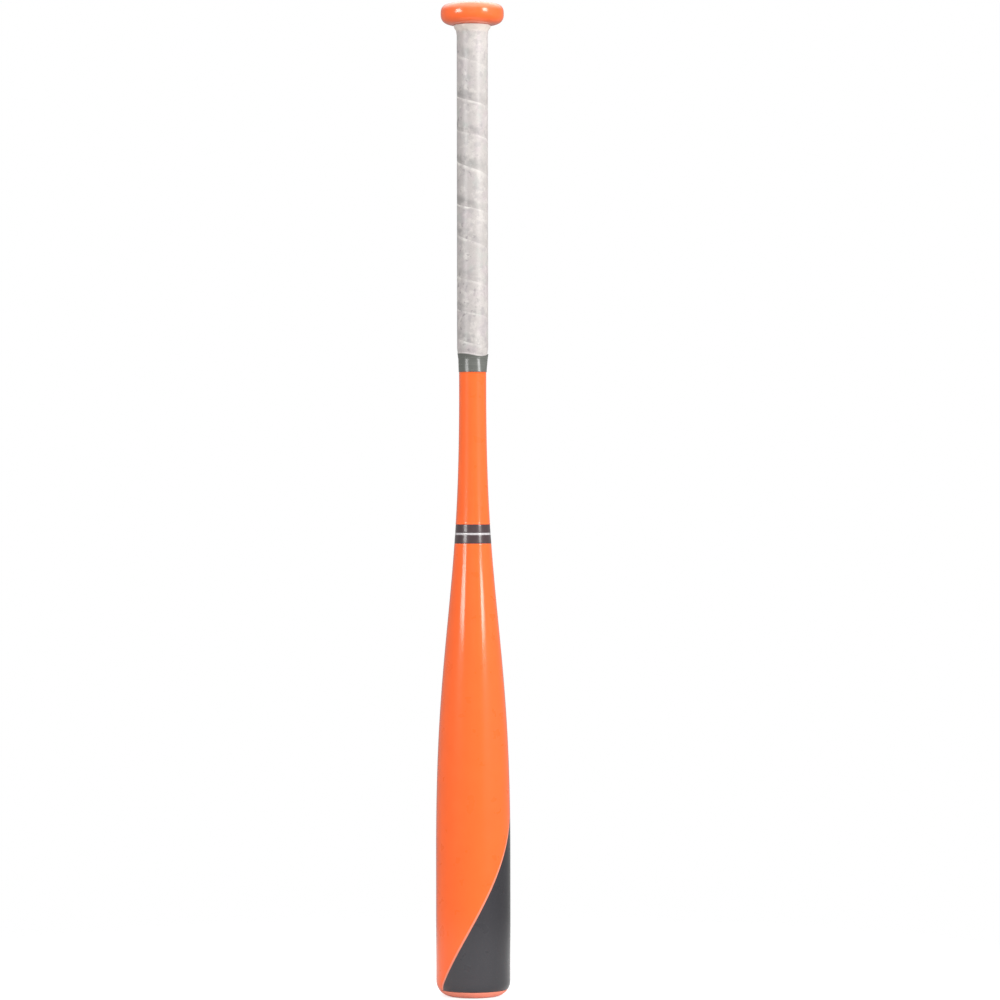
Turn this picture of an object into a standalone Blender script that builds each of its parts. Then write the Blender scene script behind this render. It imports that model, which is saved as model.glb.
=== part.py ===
"""Two-piece composite baseball bat, stood on its end cap with the knob at the top.

Units are metres and +Z is up. The bat's axis is the Z axis, and the origin is the middle of the
flat rim that the end cap stands on. Heights in the barrel half are counted up from that rim, and
places in the handle half are counted down from the top of the knob.
"""

import math

import bpy

# Whole bat
BAT_LENGTH = 0.762
BARREL_DIAMETER = 0.05715
HANDLE_DIAMETER = 0.0209
END_ROUNDING = 0.012

# Taper from handle to barrel: its two heights, and how sharply its S-curve turns in the middle
TAPER_TOP = 0.465
TAPER_BOTTOM = 0.110
TAPER_SHARPNESS = 1.9

# Walls of the two composite tubes
BARREL_WALL = 0.005
THROAT_WALL = 0.0022
HANDLE_WALL = 0.003
SPIGOT_WALL = 0.0022
BORE_TAPER = 0.100

# Clearances: the glue line between rigid pieces, and the thinner one between wound layers
BOND_GAP = 0.0003
LAYER_GAP = 0.0001

# Elastomer joint: the collar that shows, its sleeve in the throat, and the white stripe let into it
COLLAR_BOTTOM = 0.3475
COLLAR_HEIGHT = 0.0147
SLEEVE_LENGTH = 0.045
SLEEVE_WALL = 0.0014
STRIPE_RISE = 0.0064
STRIPE_HEIGHT = 0.002
STRIPE_DEPTH = 0.0008
SPIGOT_TAIL = 0.003

# Knob and its flared neck
KNOB_DIAMETER = 0.0486
KNOB_TOP_DIAMETER = 0.0448
KNOB_CROWN_HEIGHT = 0.0071
KNOB_UNDER_HEIGHT = 0.009
KNOB_ROOF = 0.005
NECK_HEIGHT = 0.0065
NECK_WALL = 0.0005
NECK_FLARE = 0.0022

# Grip, its backing tape and the finishing tape at its lower end
GRIP_LENGTH = 0.2584
GRIP_THICKNESS = 0.00115
GRIP_END_THICKNESS = 0.0005
BACKING_THICKNESS = 0.0002
TAPE_THICKNESS = 0.0003
TAPE_OVERLAP = 0.005
TAPE_TAIL = 0.0083
TAPE_STEP = 0.0012

# Stoppers for the two ends of the handle's bore
STOPPER_HEAD = 0.0025
STOPPER_LENGTH = 0.018
STOPPER_GROOVE = 0.0008
STOPPER_RIB = 0.003

# End cap: its rim, its skirt in the barrel, the bead that snaps into the barrel, and its ribs
CAP_FLANGE = 0.006
CAP_RIM_WIDTH = 0.0045
CAP_RECESS = 0.0012
CAP_FLOOR = 0.0035
CAP_SKIRT_HEIGHT = 0.016
CAP_SKIRT_WALL = 0.0025
CAP_LEAD_IN = 0.0008
BEAD_RISE = 0.0085
BEAD_HEIGHT = 0.003
BEAD_DEPTH = 0.0008
RIB_COUNT = 6
RIB_THICKNESS = 0.0016
RIB_HEIGHT = 0.008
BOSS_DIAMETER = 0.008

# Fineness of the turned surfaces
SEGMENTS = 32
TAPER_RINGS = 14
ARC_RINGS = 5
LEAST_RING_STEP = 0.0005
MERGE_DISTANCE = 0.00001
SMOOTH_ANGLE = math.radians(35)

# Places worked out from the sizes above
HANDLE_RADIUS = HANDLE_DIAMETER / 2
BARREL_RADIUS = BARREL_DIAMETER / 2
COLLAR_TOP = COLLAR_BOTTOM + COLLAR_HEIGHT
KNOB_WAIST = BAT_LENGTH - KNOB_CROWN_HEIGHT
KNOB_BOTTOM = KNOB_WAIST - KNOB_UNDER_HEIGHT
NECK_BOTTOM = KNOB_BOTTOM - NECK_HEIGHT
SOCKET_TOP = BAT_LENGTH - KNOB_ROOF
HANDLE_TOP = SOCKET_TOP - STOPPER_HEAD - 2 * BOND_GAP
HANDLE_BORE = HANDLE_RADIUS - HANDLE_WALL
GRIP_TOP = KNOB_BOTTOM - BOND_GAP
GRIP_BOTTOM = KNOB_BOTTOM - GRIP_LENGTH
TAPE_TOP = GRIP_BOTTOM + TAPE_OVERLAP
TAPE_BOTTOM = GRIP_BOTTOM - TAPE_TAIL
SLEEVE_BOTTOM = COLLAR_BOTTOM - SLEEVE_LENGTH
SPIGOT_BOTTOM = SLEEVE_BOTTOM - SPIGOT_TAIL
CAP_TOP = CAP_FLANGE + CAP_SKIRT_HEIGHT
CAP_FLOOR_TOP = CAP_RECESS + CAP_FLOOR
BEAD_MIDDLE = CAP_FLANGE + BEAD_RISE


def barrel_share(height):
    """How far the outline has turned from handle (0) to barrel (1) at a height."""
    along = (TAPER_TOP - height) / (TAPER_TOP - TAPER_BOTTOM)
    along = min(max(along, 0.0), 1.0)
    rise = along**TAPER_SHARPNESS
    fall = (1.0 - along) ** TAPER_SHARPNESS
    return rise / (rise + fall)


def tube_radius(height):
    """Outside radius of the tubes at a height, before the barrel's end is rounded."""
    return HANDLE_RADIUS + (BARREL_RADIUS - HANDLE_RADIUS) * barrel_share(height)


def surface_radius(height):
    """Outside radius of the bare bat at a height."""
    over = max(END_ROUNDING - height, 0.0)
    return tube_radius(height) - END_ROUNDING + math.sqrt(END_ROUNDING**2 - over**2)


def throat_radius(height):
    """Inside radius of the barrel at a height."""
    wall = THROAT_WALL + (BARREL_WALL - THROAT_WALL) * barrel_share(height)
    return tube_radius(height) - wall


def neck_radius(height):
    """Outside radius of the knob's flared neck at a height."""
    along = (height - NECK_BOTTOM) / NECK_HEIGHT
    return HANDLE_RADIUS + BOND_GAP + NECK_WALL + NECK_FLARE * along**2


def grip_seat_radius(height):
    """Inside radius of the grip where it lies on its backing tape."""
    return tube_radius(height) + BACKING_THICKNESS + 2 * LAYER_GAP


def spigot_radius():
    """Outside radius of the handle's end inside the barrel's throat."""
    return throat_radius(COLLAR_BOTTOM) - 2 * BOND_GAP - SLEEVE_WALL


def cap_skirt_radius():
    """Outside radius of the end cap's skirt inside the barrel."""
    return BARREL_RADIUS - BARREL_WALL - BOND_GAP


def ring_heights(high, low):
    """Heights from high down to low, with a ring wherever the outline curves between them."""
    taper = [TAPER_TOP + (TAPER_BOTTOM - TAPER_TOP) * i / TAPER_RINGS for i in range(TAPER_RINGS + 1)]
    turn = [END_ROUNDING * (1 - math.sin(math.pi / 2 * i / ARC_RINGS)) for i in range(ARC_RINGS + 1)]
    between = [z for z in taper + turn if low + LEAST_RING_STEP < z < high - LEAST_RING_STEP]
    return [high, *between, low]


def followed(radius_at, high, low, offset=0.0):
    """Profile points that run down a surface, a fixed distance outside it."""
    return [(radius_at(z) + offset, z) for z in ring_heights(high, low)]


def quarter_arc(centre, width, height, start, stop):
    """Profile points on an ellipse about centre, from one angle in degrees to another."""
    points = []
    for i in range(ARC_RINGS + 1):
        angle = math.radians(start + (stop - start) * i / ARC_RINGS)
        points.append((centre[0] + width * math.cos(angle), centre[1] + height * math.sin(angle)))
    return points


def srgb(red, green, blue):
    """Linear colour of an 8-bit display colour."""
    levels = [level / 255 for level in (red, green, blue)]
    return (*[(s / 12.92 if s <= 0.04045 else ((s + 0.055) / 1.055) ** 2.4) for s in levels], 1.0)


def finish(name, colour, roughness):
    """A Principled material with one colour and roughness."""
    material = bpy.data.materials.new(name)
    material.use_nodes = True
    shader = material.node_tree.nodes["Principled BSDF"]
    shader.inputs["Base Color"].default_value = srgb(*colour)
    shader.inputs["Roughness"].default_value = roughness
    shader.inputs["Metallic"].default_value = 0.0
    material.diffuse_color = srgb(*colour)
    return material


def turned(name, profile, material, seat):
    """A lathed piece whose origin is on the axis at its seat height.

    The profile runs down the outer side. One that starts on the axis makes a solid piece, and any
    other is closed into a ring.
    """
    edges = [(i, i + 1) for i in range(len(profile) - 1)]
    if profile[0][0] > 0:
        edges.append((len(profile) - 1, 0))
    outline = bpy.data.meshes.new(name + "_profile")
    outline.from_pydata([(r, 0.0, z - seat) for r, z in profile], edges, [])
    piece = bpy.data.objects.new(name, outline)
    bpy.data.collections["baseball_bat"].objects.link(piece)
    piece.parent = bpy.data.objects["bat_axis"]
    piece.location.z = seat
    lathe = piece.modifiers.new("Lathe", "SCREW")
    lathe.steps = SEGMENTS
    lathe.render_steps = SEGMENTS
    lathe.use_merge_vertices = True
    lathe.merge_threshold = MERGE_DISTANCE
    graph = bpy.context.evaluated_depsgraph_get()
    piece.data = bpy.data.meshes.new_from_object(piece.evaluated_get(graph))
    piece.data.name = name
    piece.modifiers.remove(lathe)
    bpy.data.meshes.remove(outline)
    piece.data.shade_smooth()
    piece.data.set_sharp_from_angle(angle=SMOOTH_ANGLE)
    piece.data.materials.append(material)
    return piece


def make_knob(material):
    """Flat-topped knob with a rounded underside, a flared neck and a blind socket for the handle."""
    waist = KNOB_DIAMETER / 2
    top = KNOB_TOP_DIAMETER / 2
    socket = HANDLE_RADIUS + BOND_GAP
    neck_top = neck_radius(KNOB_BOTTOM)
    crown = quarter_arc((top, KNOB_WAIST), waist - top, KNOB_CROWN_HEIGHT, 90, 0)
    under = quarter_arc((neck_top, KNOB_WAIST), waist - neck_top, KNOB_UNDER_HEIGHT, 0, -90)
    neck = []
    for i in range(1, ARC_RINGS + 1):
        height = KNOB_BOTTOM - NECK_HEIGHT * i / ARC_RINGS
        neck.append((neck_radius(height), height))
    inside = [(socket, NECK_BOTTOM), (socket, SOCKET_TOP), (0.0, SOCKET_TOP)]
    profile = [(0.0, BAT_LENGTH), *crown, *under[1:], *neck, *inside]
    return turned("knob", profile, material, KNOB_BOTTOM)


def make_handle_tube(material):
    """Handle tube from the knob's socket to the collar, with its spigot below the shoulder."""
    spigot = spigot_radius()
    spigot_bore = spigot - SPIGOT_WALL
    outside = followed(tube_radius, HANDLE_TOP, COLLAR_TOP)
    shoulder = [(spigot, COLLAR_TOP), (spigot, SPIGOT_BOTTOM)]
    bore = [
        (spigot_bore, SPIGOT_BOTTOM),
        (spigot_bore, COLLAR_TOP),
        (HANDLE_BORE, COLLAR_TOP + BORE_TAPER),
        (HANDLE_BORE, HANDLE_TOP),
    ]
    return turned("handle_tube", [*outside, *shoulder, *bore], material, COLLAR_TOP)


def make_stopper(name, bore, head, seat, direction, material):
    """Headed stopper with two sealing ribs. Its head lies on the tube's end, away from direction."""
    rib = bore - BOND_GAP
    groove = rib - STOPPER_GROOVE
    rim = seat - direction * BOND_GAP
    end = seat + direction * STOPPER_LENGTH
    side = [
        (0.0, rim - direction * STOPPER_HEAD),
        (head, rim - direction * STOPPER_HEAD),
        (head, rim),
        (rib, rim),
        (rib, seat + direction * STOPPER_RIB),
        (groove, seat + direction * STOPPER_RIB),
        (groove, end - direction * STOPPER_RIB),
        (rib, end - direction * STOPPER_RIB),
        (groove, end),
        (0.0, end),
    ]
    return turned(name, side if direction < 0 else side[::-1], material, seat)


def make_grip_backing_tape(material):
    """Double-sided tape between the bare handle and the grip."""
    top = NECK_BOTTOM - BOND_GAP
    inside = followed(tube_radius, top, GRIP_BOTTOM, LAYER_GAP)
    outside = followed(tube_radius, top, GRIP_BOTTOM, LAYER_GAP + BACKING_THICKNESS)
    return turned("grip_backing_tape", [*outside, *inside[::-1]], material, GRIP_BOTTOM)


def make_grip_wrap(material):
    """Grip from the knob's flared neck to the tape, thinned where the tape binds it down."""
    taped = GRIP_THICKNESS - TAPE_THICKNESS - LAYER_GAP
    shoulder = TAPE_TOP + LAYER_GAP
    foot = NECK_BOTTOM - BOND_GAP
    neck = []
    for i in range(ARC_RINGS + 1):
        height = GRIP_TOP - (GRIP_TOP - NECK_BOTTOM) * i / ARC_RINGS
        neck.append((neck_radius(height) + LAYER_GAP, height))
    seat = followed(grip_seat_radius, foot, shoulder)
    outside = [(r + GRIP_THICKNESS, z) for r, z in neck + seat]
    bound = [
        (grip_seat_radius(shoulder) + taped, shoulder),
        (grip_seat_radius(GRIP_BOTTOM) + GRIP_END_THICKNESS, GRIP_BOTTOM),
        (grip_seat_radius(GRIP_BOTTOM), GRIP_BOTTOM),
    ]
    ledge = (neck[-1][0], foot)
    inside = [*seat[::-1], ledge, *neck[:-1][::-1]]
    return turned("grip_wrap", [*outside, *bound, *inside], material, GRIP_BOTTOM)


def make_grip_end_tape(material):
    """Finishing tape that binds the grip's lower end and steps down to the bare handle."""
    step = GRIP_BOTTOM - TAPE_STEP
    taped = GRIP_THICKNESS - TAPE_THICKNESS
    inside = [
        (grip_seat_radius(TAPE_TOP) + taped, TAPE_TOP),
        (grip_seat_radius(GRIP_BOTTOM) + GRIP_END_THICKNESS + LAYER_GAP, GRIP_BOTTOM),
        *followed(tube_radius, step, TAPE_BOTTOM, LAYER_GAP),
    ]
    outside = [(r + TAPE_THICKNESS, z) for r, z in inside]
    return turned("grip_end_tape", [*outside, *inside[::-1]], material, TAPE_BOTTOM)


def stripe_groove():
    """Heights of the collar's groove, from its upper edge to its lower edge."""
    low = COLLAR_BOTTOM + STRIPE_RISE - BOND_GAP
    return low + STRIPE_HEIGHT + 2 * BOND_GAP, low


def make_flex_collar(material):
    """Elastomer collar that shows between the tubes, with its sleeve bonded into the throat."""
    top = COLLAR_TOP - BOND_GAP
    bottom = COLLAR_BOTTOM + BOND_GAP
    inner = spigot_radius() + BOND_GAP
    groove_top, groove_bottom = stripe_groove()
    depth = STRIPE_DEPTH + BOND_GAP
    profile = [
        *followed(tube_radius, top, groove_top),
        *followed(tube_radius, groove_top, groove_bottom, -depth),
        *followed(tube_radius, groove_bottom, bottom),
        (throat_radius(COLLAR_BOTTOM) - BOND_GAP, bottom),
        *followed(throat_radius, COLLAR_BOTTOM, SLEEVE_BOTTOM, -BOND_GAP),
        (inner, SLEEVE_BOTTOM),
        (inner, top),
    ]
    return turned("flex_collar", profile, material, COLLAR_BOTTOM)


def make_collar_stripe(material):
    """White ring let into the collar's groove, flush with the bat's surface."""
    groove_top, groove_bottom = stripe_groove()
    top = groove_top - BOND_GAP
    bottom = groove_bottom + BOND_GAP
    outside = followed(tube_radius, top, bottom)
    inside = followed(tube_radius, top, bottom, -STRIPE_DEPTH)
    return turned("collar_stripe", [*outside, *inside[::-1]], material, bottom)


def make_barrel_shell(material):
    """Hollow barrel with its taper and throat, and the groove that the end cap's bead snaps into."""
    end = CAP_FLANGE + BOND_GAP
    bore = cap_skirt_radius() + BOND_GAP
    half_groove = BEAD_HEIGHT / 2 + BOND_GAP
    outside = followed(surface_radius, COLLAR_BOTTOM, end)
    groove = [
        (bore, end),
        (bore, BEAD_MIDDLE - half_groove),
        (bore + BEAD_DEPTH, BEAD_MIDDLE - half_groove + BEAD_DEPTH),
        (bore + BEAD_DEPTH, BEAD_MIDDLE + half_groove - BEAD_DEPTH),
        (bore, BEAD_MIDDLE + half_groove),
    ]
    throat = followed(throat_radius, COLLAR_BOTTOM, TAPER_BOTTOM)
    return turned("barrel_shell", [*outside, *groove, *throat[::-1]], material, end)


def make_end_cap(material):
    """Moulded end cap: rounded rim, recessed face, and a ribbed cup that snaps into the barrel."""
    skirt = cap_skirt_radius()
    cup = skirt - CAP_SKIRT_WALL
    boss = BOSS_DIAMETER / 2
    boss_top = CAP_FLOOR_TOP + RIB_HEIGHT + CAP_LEAD_IN
    half_bead = BEAD_HEIGHT / 2
    face = surface_radius(0.0) - CAP_RIM_WIDTH
    profile = [
        (0.0, boss_top),
        (boss, boss_top),
        (boss, CAP_FLOOR_TOP),
        (cup, CAP_FLOOR_TOP),
        (cup, CAP_TOP),
        (skirt - CAP_LEAD_IN, CAP_TOP),
        (skirt, CAP_TOP - CAP_LEAD_IN),
        (skirt, BEAD_MIDDLE + half_bead),
        (skirt + BEAD_DEPTH, BEAD_MIDDLE + half_bead - BEAD_DEPTH),
        (skirt + BEAD_DEPTH, BEAD_MIDDLE - half_bead + BEAD_DEPTH),
        (skirt, BEAD_MIDDLE - half_bead),
        (skirt, CAP_FLANGE),
        *followed(surface_radius, CAP_FLANGE, 0.0),
        (face, 0.0),
        (face - CAP_RECESS, CAP_RECESS),
        (0.0, CAP_RECESS),
    ]
    cap = turned("end_cap", profile, material, CAP_FLANGE)
    for i in range(RIB_COUNT // 2):
        rib = make_rib_bar(i, cup + CAP_SKIRT_WALL / 2)
        union = cap.modifiers.new(rib.name, "BOOLEAN")
        union.operation = "UNION"
        union.object = rib
    return cap


def make_rib_bar(index, reach):
    """One bar across the end cap's cup, which makes two opposite ribs."""
    sunk = CAP_FLOOR / 2
    bpy.ops.mesh.primitive_cube_add(size=1.0)
    bar = bpy.context.object
    bar.name = f"rib_bar_{index + 1}"
    for vertex in bar.data.vertices:
        vertex.co.x *= 2 * reach
        vertex.co.y *= RIB_THICKNESS
        vertex.co.z *= RIB_HEIGHT + sunk
    bar.location.z = CAP_FLOOR_TOP + (RIB_HEIGHT - sunk) / 2
    bar.rotation_euler.z = 2 * math.pi * (index + 0.25) / RIB_COUNT
    bar.hide_render = True
    bar.display_type = "WIRE"
    for collection in list(bar.users_collection):
        collection.objects.unlink(bar)
    bpy.data.collections["rib_bars"].objects.link(bar)
    return bar


def clear_scene():
    """Remove what a new file starts with."""
    for item in list(bpy.data.objects):
        bpy.data.objects.remove(item)


def make_collections():
    """One collection for the bat, one for the bars that are joined into its end cap, and the axis."""
    for name in ("baseball_bat", "rib_bars"):
        bpy.context.scene.collection.children.link(bpy.data.collections.new(name))
    axis = bpy.data.objects.new("bat_axis", None)
    axis.empty_display_size = HANDLE_DIAMETER
    bpy.data.collections["baseball_bat"].objects.link(axis)


def main():
    """Model every piece of the bat."""
    clear_scene()
    make_collections()
    orange = finish("orange_gloss_paint", (253, 121, 66), 0.25)
    cap_orange = finish("orange_moulded_urethane", (240, 135, 105), 0.45)
    grip_grey = finish("pale_grip", (212, 207, 203), 0.7)
    tape_grey = finish("dark_grey_tape", (118, 118, 116), 0.4)
    elastomer = finish("charcoal_elastomer", (90, 80, 82), 0.5)
    white = finish("white_inlay", (245, 244, 242), 0.4)
    backing = finish("backing_tape", (200, 190, 165), 0.8)
    stopper = finish("black_stopper", (40, 40, 42), 0.7)
    make_knob(orange)
    make_handle_tube(orange)
    make_stopper("handle_end_plug", HANDLE_BORE, HANDLE_RADIUS, HANDLE_TOP, -1, stopper)
    spigot = spigot_radius()
    make_stopper("handle_stopper", spigot - SPIGOT_WALL, spigot, SPIGOT_BOTTOM, 1, stopper)
    make_grip_backing_tape(backing)
    make_grip_wrap(grip_grey)
    make_grip_end_tape(tape_grey)
    make_flex_collar(elastomer)
    make_collar_stripe(white)
    make_barrel_shell(orange)
    make_end_cap(cap_orange)


main()
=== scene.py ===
"""Looks of a two-piece composite baseball bat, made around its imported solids.

Units are metres. Every piece is turned or wound about the bat's axis, which is the Z axis, and the
end cap stands on the floor at height 0. The side that faces the camera is -Y. A bearing is an angle
about the axis, counted from that side towards +X, so a negative bearing lies to the left.
"""

import logging
import math
from collections.abc import Callable, Sequence
from dataclasses import dataclass, field
from enum import Enum
from functools import reduce

import bmesh
import bpy
from mathutils import Color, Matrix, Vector, noise


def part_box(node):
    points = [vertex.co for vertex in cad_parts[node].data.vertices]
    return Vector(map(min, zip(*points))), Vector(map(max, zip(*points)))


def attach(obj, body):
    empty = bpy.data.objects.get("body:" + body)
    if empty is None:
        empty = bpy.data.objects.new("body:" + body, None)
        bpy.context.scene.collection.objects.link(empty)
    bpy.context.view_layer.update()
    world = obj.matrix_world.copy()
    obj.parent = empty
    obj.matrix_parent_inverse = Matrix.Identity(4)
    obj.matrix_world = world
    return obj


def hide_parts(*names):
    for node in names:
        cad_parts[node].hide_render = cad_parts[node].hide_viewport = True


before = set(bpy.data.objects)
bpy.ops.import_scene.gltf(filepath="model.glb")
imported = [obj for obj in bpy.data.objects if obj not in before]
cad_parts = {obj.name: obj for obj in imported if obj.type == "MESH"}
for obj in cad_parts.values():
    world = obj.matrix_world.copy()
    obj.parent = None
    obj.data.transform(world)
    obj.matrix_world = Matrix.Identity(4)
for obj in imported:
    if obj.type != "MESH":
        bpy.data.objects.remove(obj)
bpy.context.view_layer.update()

BODY = "root"
LOG = logging.getLogger("baseball_bat")

MM = 0.001
BOND_GAP = 0.3 * MM
LAYER_GAP = 0.1 * MM
MERGE_DISTANCE = 0.002 * MM
CUT_DISTANCE = 0.0005 * MM
SEED_SIZE = 1 * MM
TURN_STEPS = 144
ROUND_STEPS = 5
ARC_STEPS = 12
ROUND_REACH = 0.49
EDGE_REACH = 1 * MM
SMOOTH_ANGLE = math.radians(38)

Profile = list[tuple[float, float]]
Colour = tuple[float, float, float]
Socket = bpy.types.NodeSocket
Value = Socket | float | Colour
Piece = bpy.types.Object


class Slot(Enum):
    """Material slots of the pieces that are modelled here."""

    ORANGE_PAINT = "orange_paint"
    CAP = "cap"
    GRIP = "grip"
    TAPE = "tape"
    ELASTOMER = "elastomer"
    STRIPE = "stripe"


@dataclass(frozen=True)
class Corner:
    """One corner of a turned outline, with the radius of its rounding."""

    radius: float
    height: float
    rounding: float = 0.0

    def point(self) -> Vector:
        """The corner as a point of the half plane, before it is rounded."""
        return Vector((self.radius, self.height))


def rounded(corners: Sequence[Corner]) -> Profile:
    """Outline through corners, with each inner corner rounded as it asks.

    Args:
        corners: The corners in order. The first and the last stay sharp.

    Returns:
        The points of the outline.
    """
    outline: Profile = []
    last = len(corners) - 1
    for index, corner in enumerate(corners):
        here = corner.point()
        if corner.rounding == 0.0 or index in (0, last):
            outline.append((here.x, here.y))
            continue
        back = corners[index - 1].point() - here
        ahead = corners[index + 1].point() - here
        reach = corner.rounding / math.tan(back.angle(ahead) / 2)
        reach = min(reach, ROUND_REACH * back.length, ROUND_REACH * ahead.length)
        start = here + back.normalized() * reach
        stop = here + ahead.normalized() * reach
        for step in range(ROUND_STEPS + 1):
            t = step / ROUND_STEPS
            bend = start.lerp(here, t).lerp(here.lerp(stop, t), t)
            outline.append((bend.x, bend.y))
    return outline


def dense(outline: Profile, spacing: float) -> Profile:
    """Outline with points put into its long stretches.

    Args:
        outline: The points of an open outline.
        spacing: The longest stretch that may stay without a point.

    Returns:
        The denser outline.
    """
    points: Profile = [outline[0]]
    for (radius, height), (end_radius, end_height) in zip(outline, outline[1:]):
        count = math.ceil(math.hypot(end_radius - radius, end_height - height) / spacing)
        for step in range(1, count + 1):
            along = step / count
            middle_radius = radius + (end_radius - radius) * along
            points.append((middle_radius, height + (end_height - height) * along))
    return points


def quarter_arc(
    centre: tuple[float, float],
    width: float,
    height: float,
    start: float,
    stop: float,
    fullness: float,
) -> Profile:
    """Points on an ellipse, or on a fuller oval, in the half plane of a turned outline.

    Args:
        centre: Radius and height of the ellipse's centre.
        width: Half axis along the radius.
        height: Half axis along the bat.
        start: First angle, in degrees from the radius.
        stop: Last angle, in degrees.
        fullness: 2 for an ellipse, and more for an oval with fuller corners.

    Returns:
        The points from the first angle to the last.
    """
    arc: Profile = []
    for step in range(ARC_STEPS + 1):
        angle = math.radians(start + (stop - start) * step / ARC_STEPS)
        across = math.copysign(abs(math.cos(angle)) ** (2 / fullness), math.cos(angle))
        along = math.copysign(abs(math.sin(angle)) ** (2 / fullness), math.sin(angle))
        arc.append((centre[0] + width * across, centre[1] + height * along))
    return arc


def smooth_step(value: float, low: float, high: float) -> float:
    """Share from 0 to 1 of how far a value has come from low to high, eased at both ends."""
    along = min(max((value - low) / (high - low), 0.0), 1.0)
    return along * along * (3 - 2 * along)


def bearing_of(place: Vector) -> float:
    """Bearing of a point about the bat's axis, in radians."""
    return math.atan2(place.x, -place.y)


def carried(place: Vector, radius: float, height: float) -> Vector:
    """A point carried to another radius and height at its own bearing."""
    grow = radius / math.hypot(place.x, place.y)
    return Vector((place.x * grow, place.y * grow, height))


def half_width(node: str) -> float:
    """Greatest radius of a solid about the axis."""
    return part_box(node)[1].x


class Bench:
    """Editing steps that the pieces share, done with Blender's own operators."""

    @staticmethod
    def seed(name: str) -> Piece:
        """Start a piece as one vertex on the axis, and stay in edit mode.

        Args:
            name: The piece's name.

        Returns:
            The new object.
        """
        bpy.ops.object.select_all(action="DESELECT")
        bpy.ops.mesh.primitive_plane_add(size=SEED_SIZE)
        piece = bpy.context.object
        piece.name = name
        piece.data.name = name
        bpy.ops.object.mode_set(mode="EDIT")
        bpy.ops.mesh.select_all(action="SELECT")
        bpy.ops.mesh.merge(type="CENTER")
        return piece

    @staticmethod
    def draw(outline: Profile) -> None:
        """Extrude the seed vertex along an outline, and back to its start if it isn't on the axis.

        Args:
            outline: Radius and height of each point.
        """
        radius, height = outline[0]
        bpy.ops.transform.translate(value=(radius, 0.0, height))
        stops = outline[1:] if radius == 0.0 else [*outline[1:], outline[0]]
        for end_radius, end_height in stops:
            step = (end_radius - radius, 0.0, end_height - height)
            bpy.ops.mesh.extrude_region_move(TRANSFORM_OT_translate={"value": step})
            radius, height = end_radius, end_height
        Bench.weld()

    @staticmethod
    def weld() -> None:
        """Merge the vertices that lie on each other, and turn all faces outwards."""
        bpy.ops.mesh.select_all(action="SELECT")
        bpy.ops.mesh.remove_doubles(threshold=MERGE_DISTANCE)
        bpy.ops.mesh.normals_make_consistent(inside=False)

    @staticmethod
    def face_outwards(piece: Piece) -> None:
        """Flip a closed piece in edit mode if its faces turned out to point inwards.

        Args:
            piece: The piece.
        """
        piece.update_from_editmode()
        enclosed = sum(face.center.dot(face.normal) * face.area for face in piece.data.polygons)
        if enclosed < 0:
            bpy.ops.mesh.select_all(action="SELECT")
            bpy.ops.mesh.flip_normals()

    @staticmethod
    def turned(name: str, outline: Profile) -> Piece:
        """Turn an outline about the bat's axis into a closed piece.

        Args:
            name: The piece's name.
            outline: Points that start and end on the axis, or go round a ring's section.

        Returns:
            The turned piece, in object mode.
        """
        piece = Bench.seed(name)
        Bench.draw(outline)
        centre, axis = (0.0, 0.0, 0.0), (0.0, 0.0, 1.0)
        bpy.ops.mesh.spin(steps=TURN_STEPS, angle=math.tau, center=centre, axis=axis)
        Bench.weld()
        Bench.smooth()
        return piece

    @staticmethod
    def smooth() -> None:
        """Leave edit mode, and shade the active piece smooth but for its sharp edges."""
        bpy.ops.object.mode_set(mode="OBJECT")
        bpy.ops.object.shade_smooth_by_angle(angle=SMOOTH_ANGLE)

    @staticmethod
    def close_crescent(piece: Piece) -> None:
        """Close the selected cut of a wound strip with triangles from its one side to its other.

        The cut is a thin crescent that runs round the axis and laps over itself, so it is closed
        step by step from its one tip to its other.

        Args:
            piece: The piece, in edit mode, with the edges of the cut selected.
        """
        net = bmesh.from_edit_mesh(piece.data)
        edge = next(edge for edge in net.edges if edge.select and edge.is_boundary)
        here = edge.verts[0]
        turned = 0.0
        wound: dict[bmesh.types.BMVert, float] = {}
        while here not in wound:
            wound[here] = turned
            there = edge.other_vert(here)
            step = bearing_of(there.co) - bearing_of(here.co)
            turned += (step + math.pi) % math.tau - math.pi
            edge = next(link for link in there.link_edges if link.is_boundary and link != edge)
            here = there
        loop = list(wound)
        tip = loop.index(max(loop, key=wound.get))
        loop = [*loop[tip:], *loop[:tip]]
        far_tip = loop.index(min(loop, key=wound.get))
        near = loop[: far_tip + 1]
        far = [loop[0], *loop[: far_tip - 1 : -1]]
        while len(near) > 1 or len(far) > 1:
            nearer = len(far) == 1 or (len(near) > 1 and wound[near[1]] >= wound[far[1]])
            side = near if nearer else far
            corners = (near[0], far[0], side[1])
            if len(set(corners)) == len(corners):
                net.faces.new(corners)
            side.pop(0)
        bmesh.update_edit_mesh(piece.data)

    @staticmethod
    def reshape(piece: Piece, moved: Callable[[Vector], Vector]) -> None:
        """Move every vertex of a piece by one rule.

        Args:
            piece: The piece, in object mode.
            moved: Gives a vertex's new place from its old one.
        """
        for vertex in piece.data.vertices:
            vertex.co = moved(vertex.co)
        piece.data.update()


def srgb(red: int, green: int, blue: int) -> Colour:
    """Linear colour of an 8-bit display colour."""
    linear = Color((red / 255, green / 255, blue / 255)).from_srgb_to_scene_linear()
    return linear.r, linear.g, linear.b


def shaded(colour: Colour, share: float) -> Colour:
    """A colour made darker or lighter by a share."""
    return colour[0] * share, colour[1] * share, colour[2] * share


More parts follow.
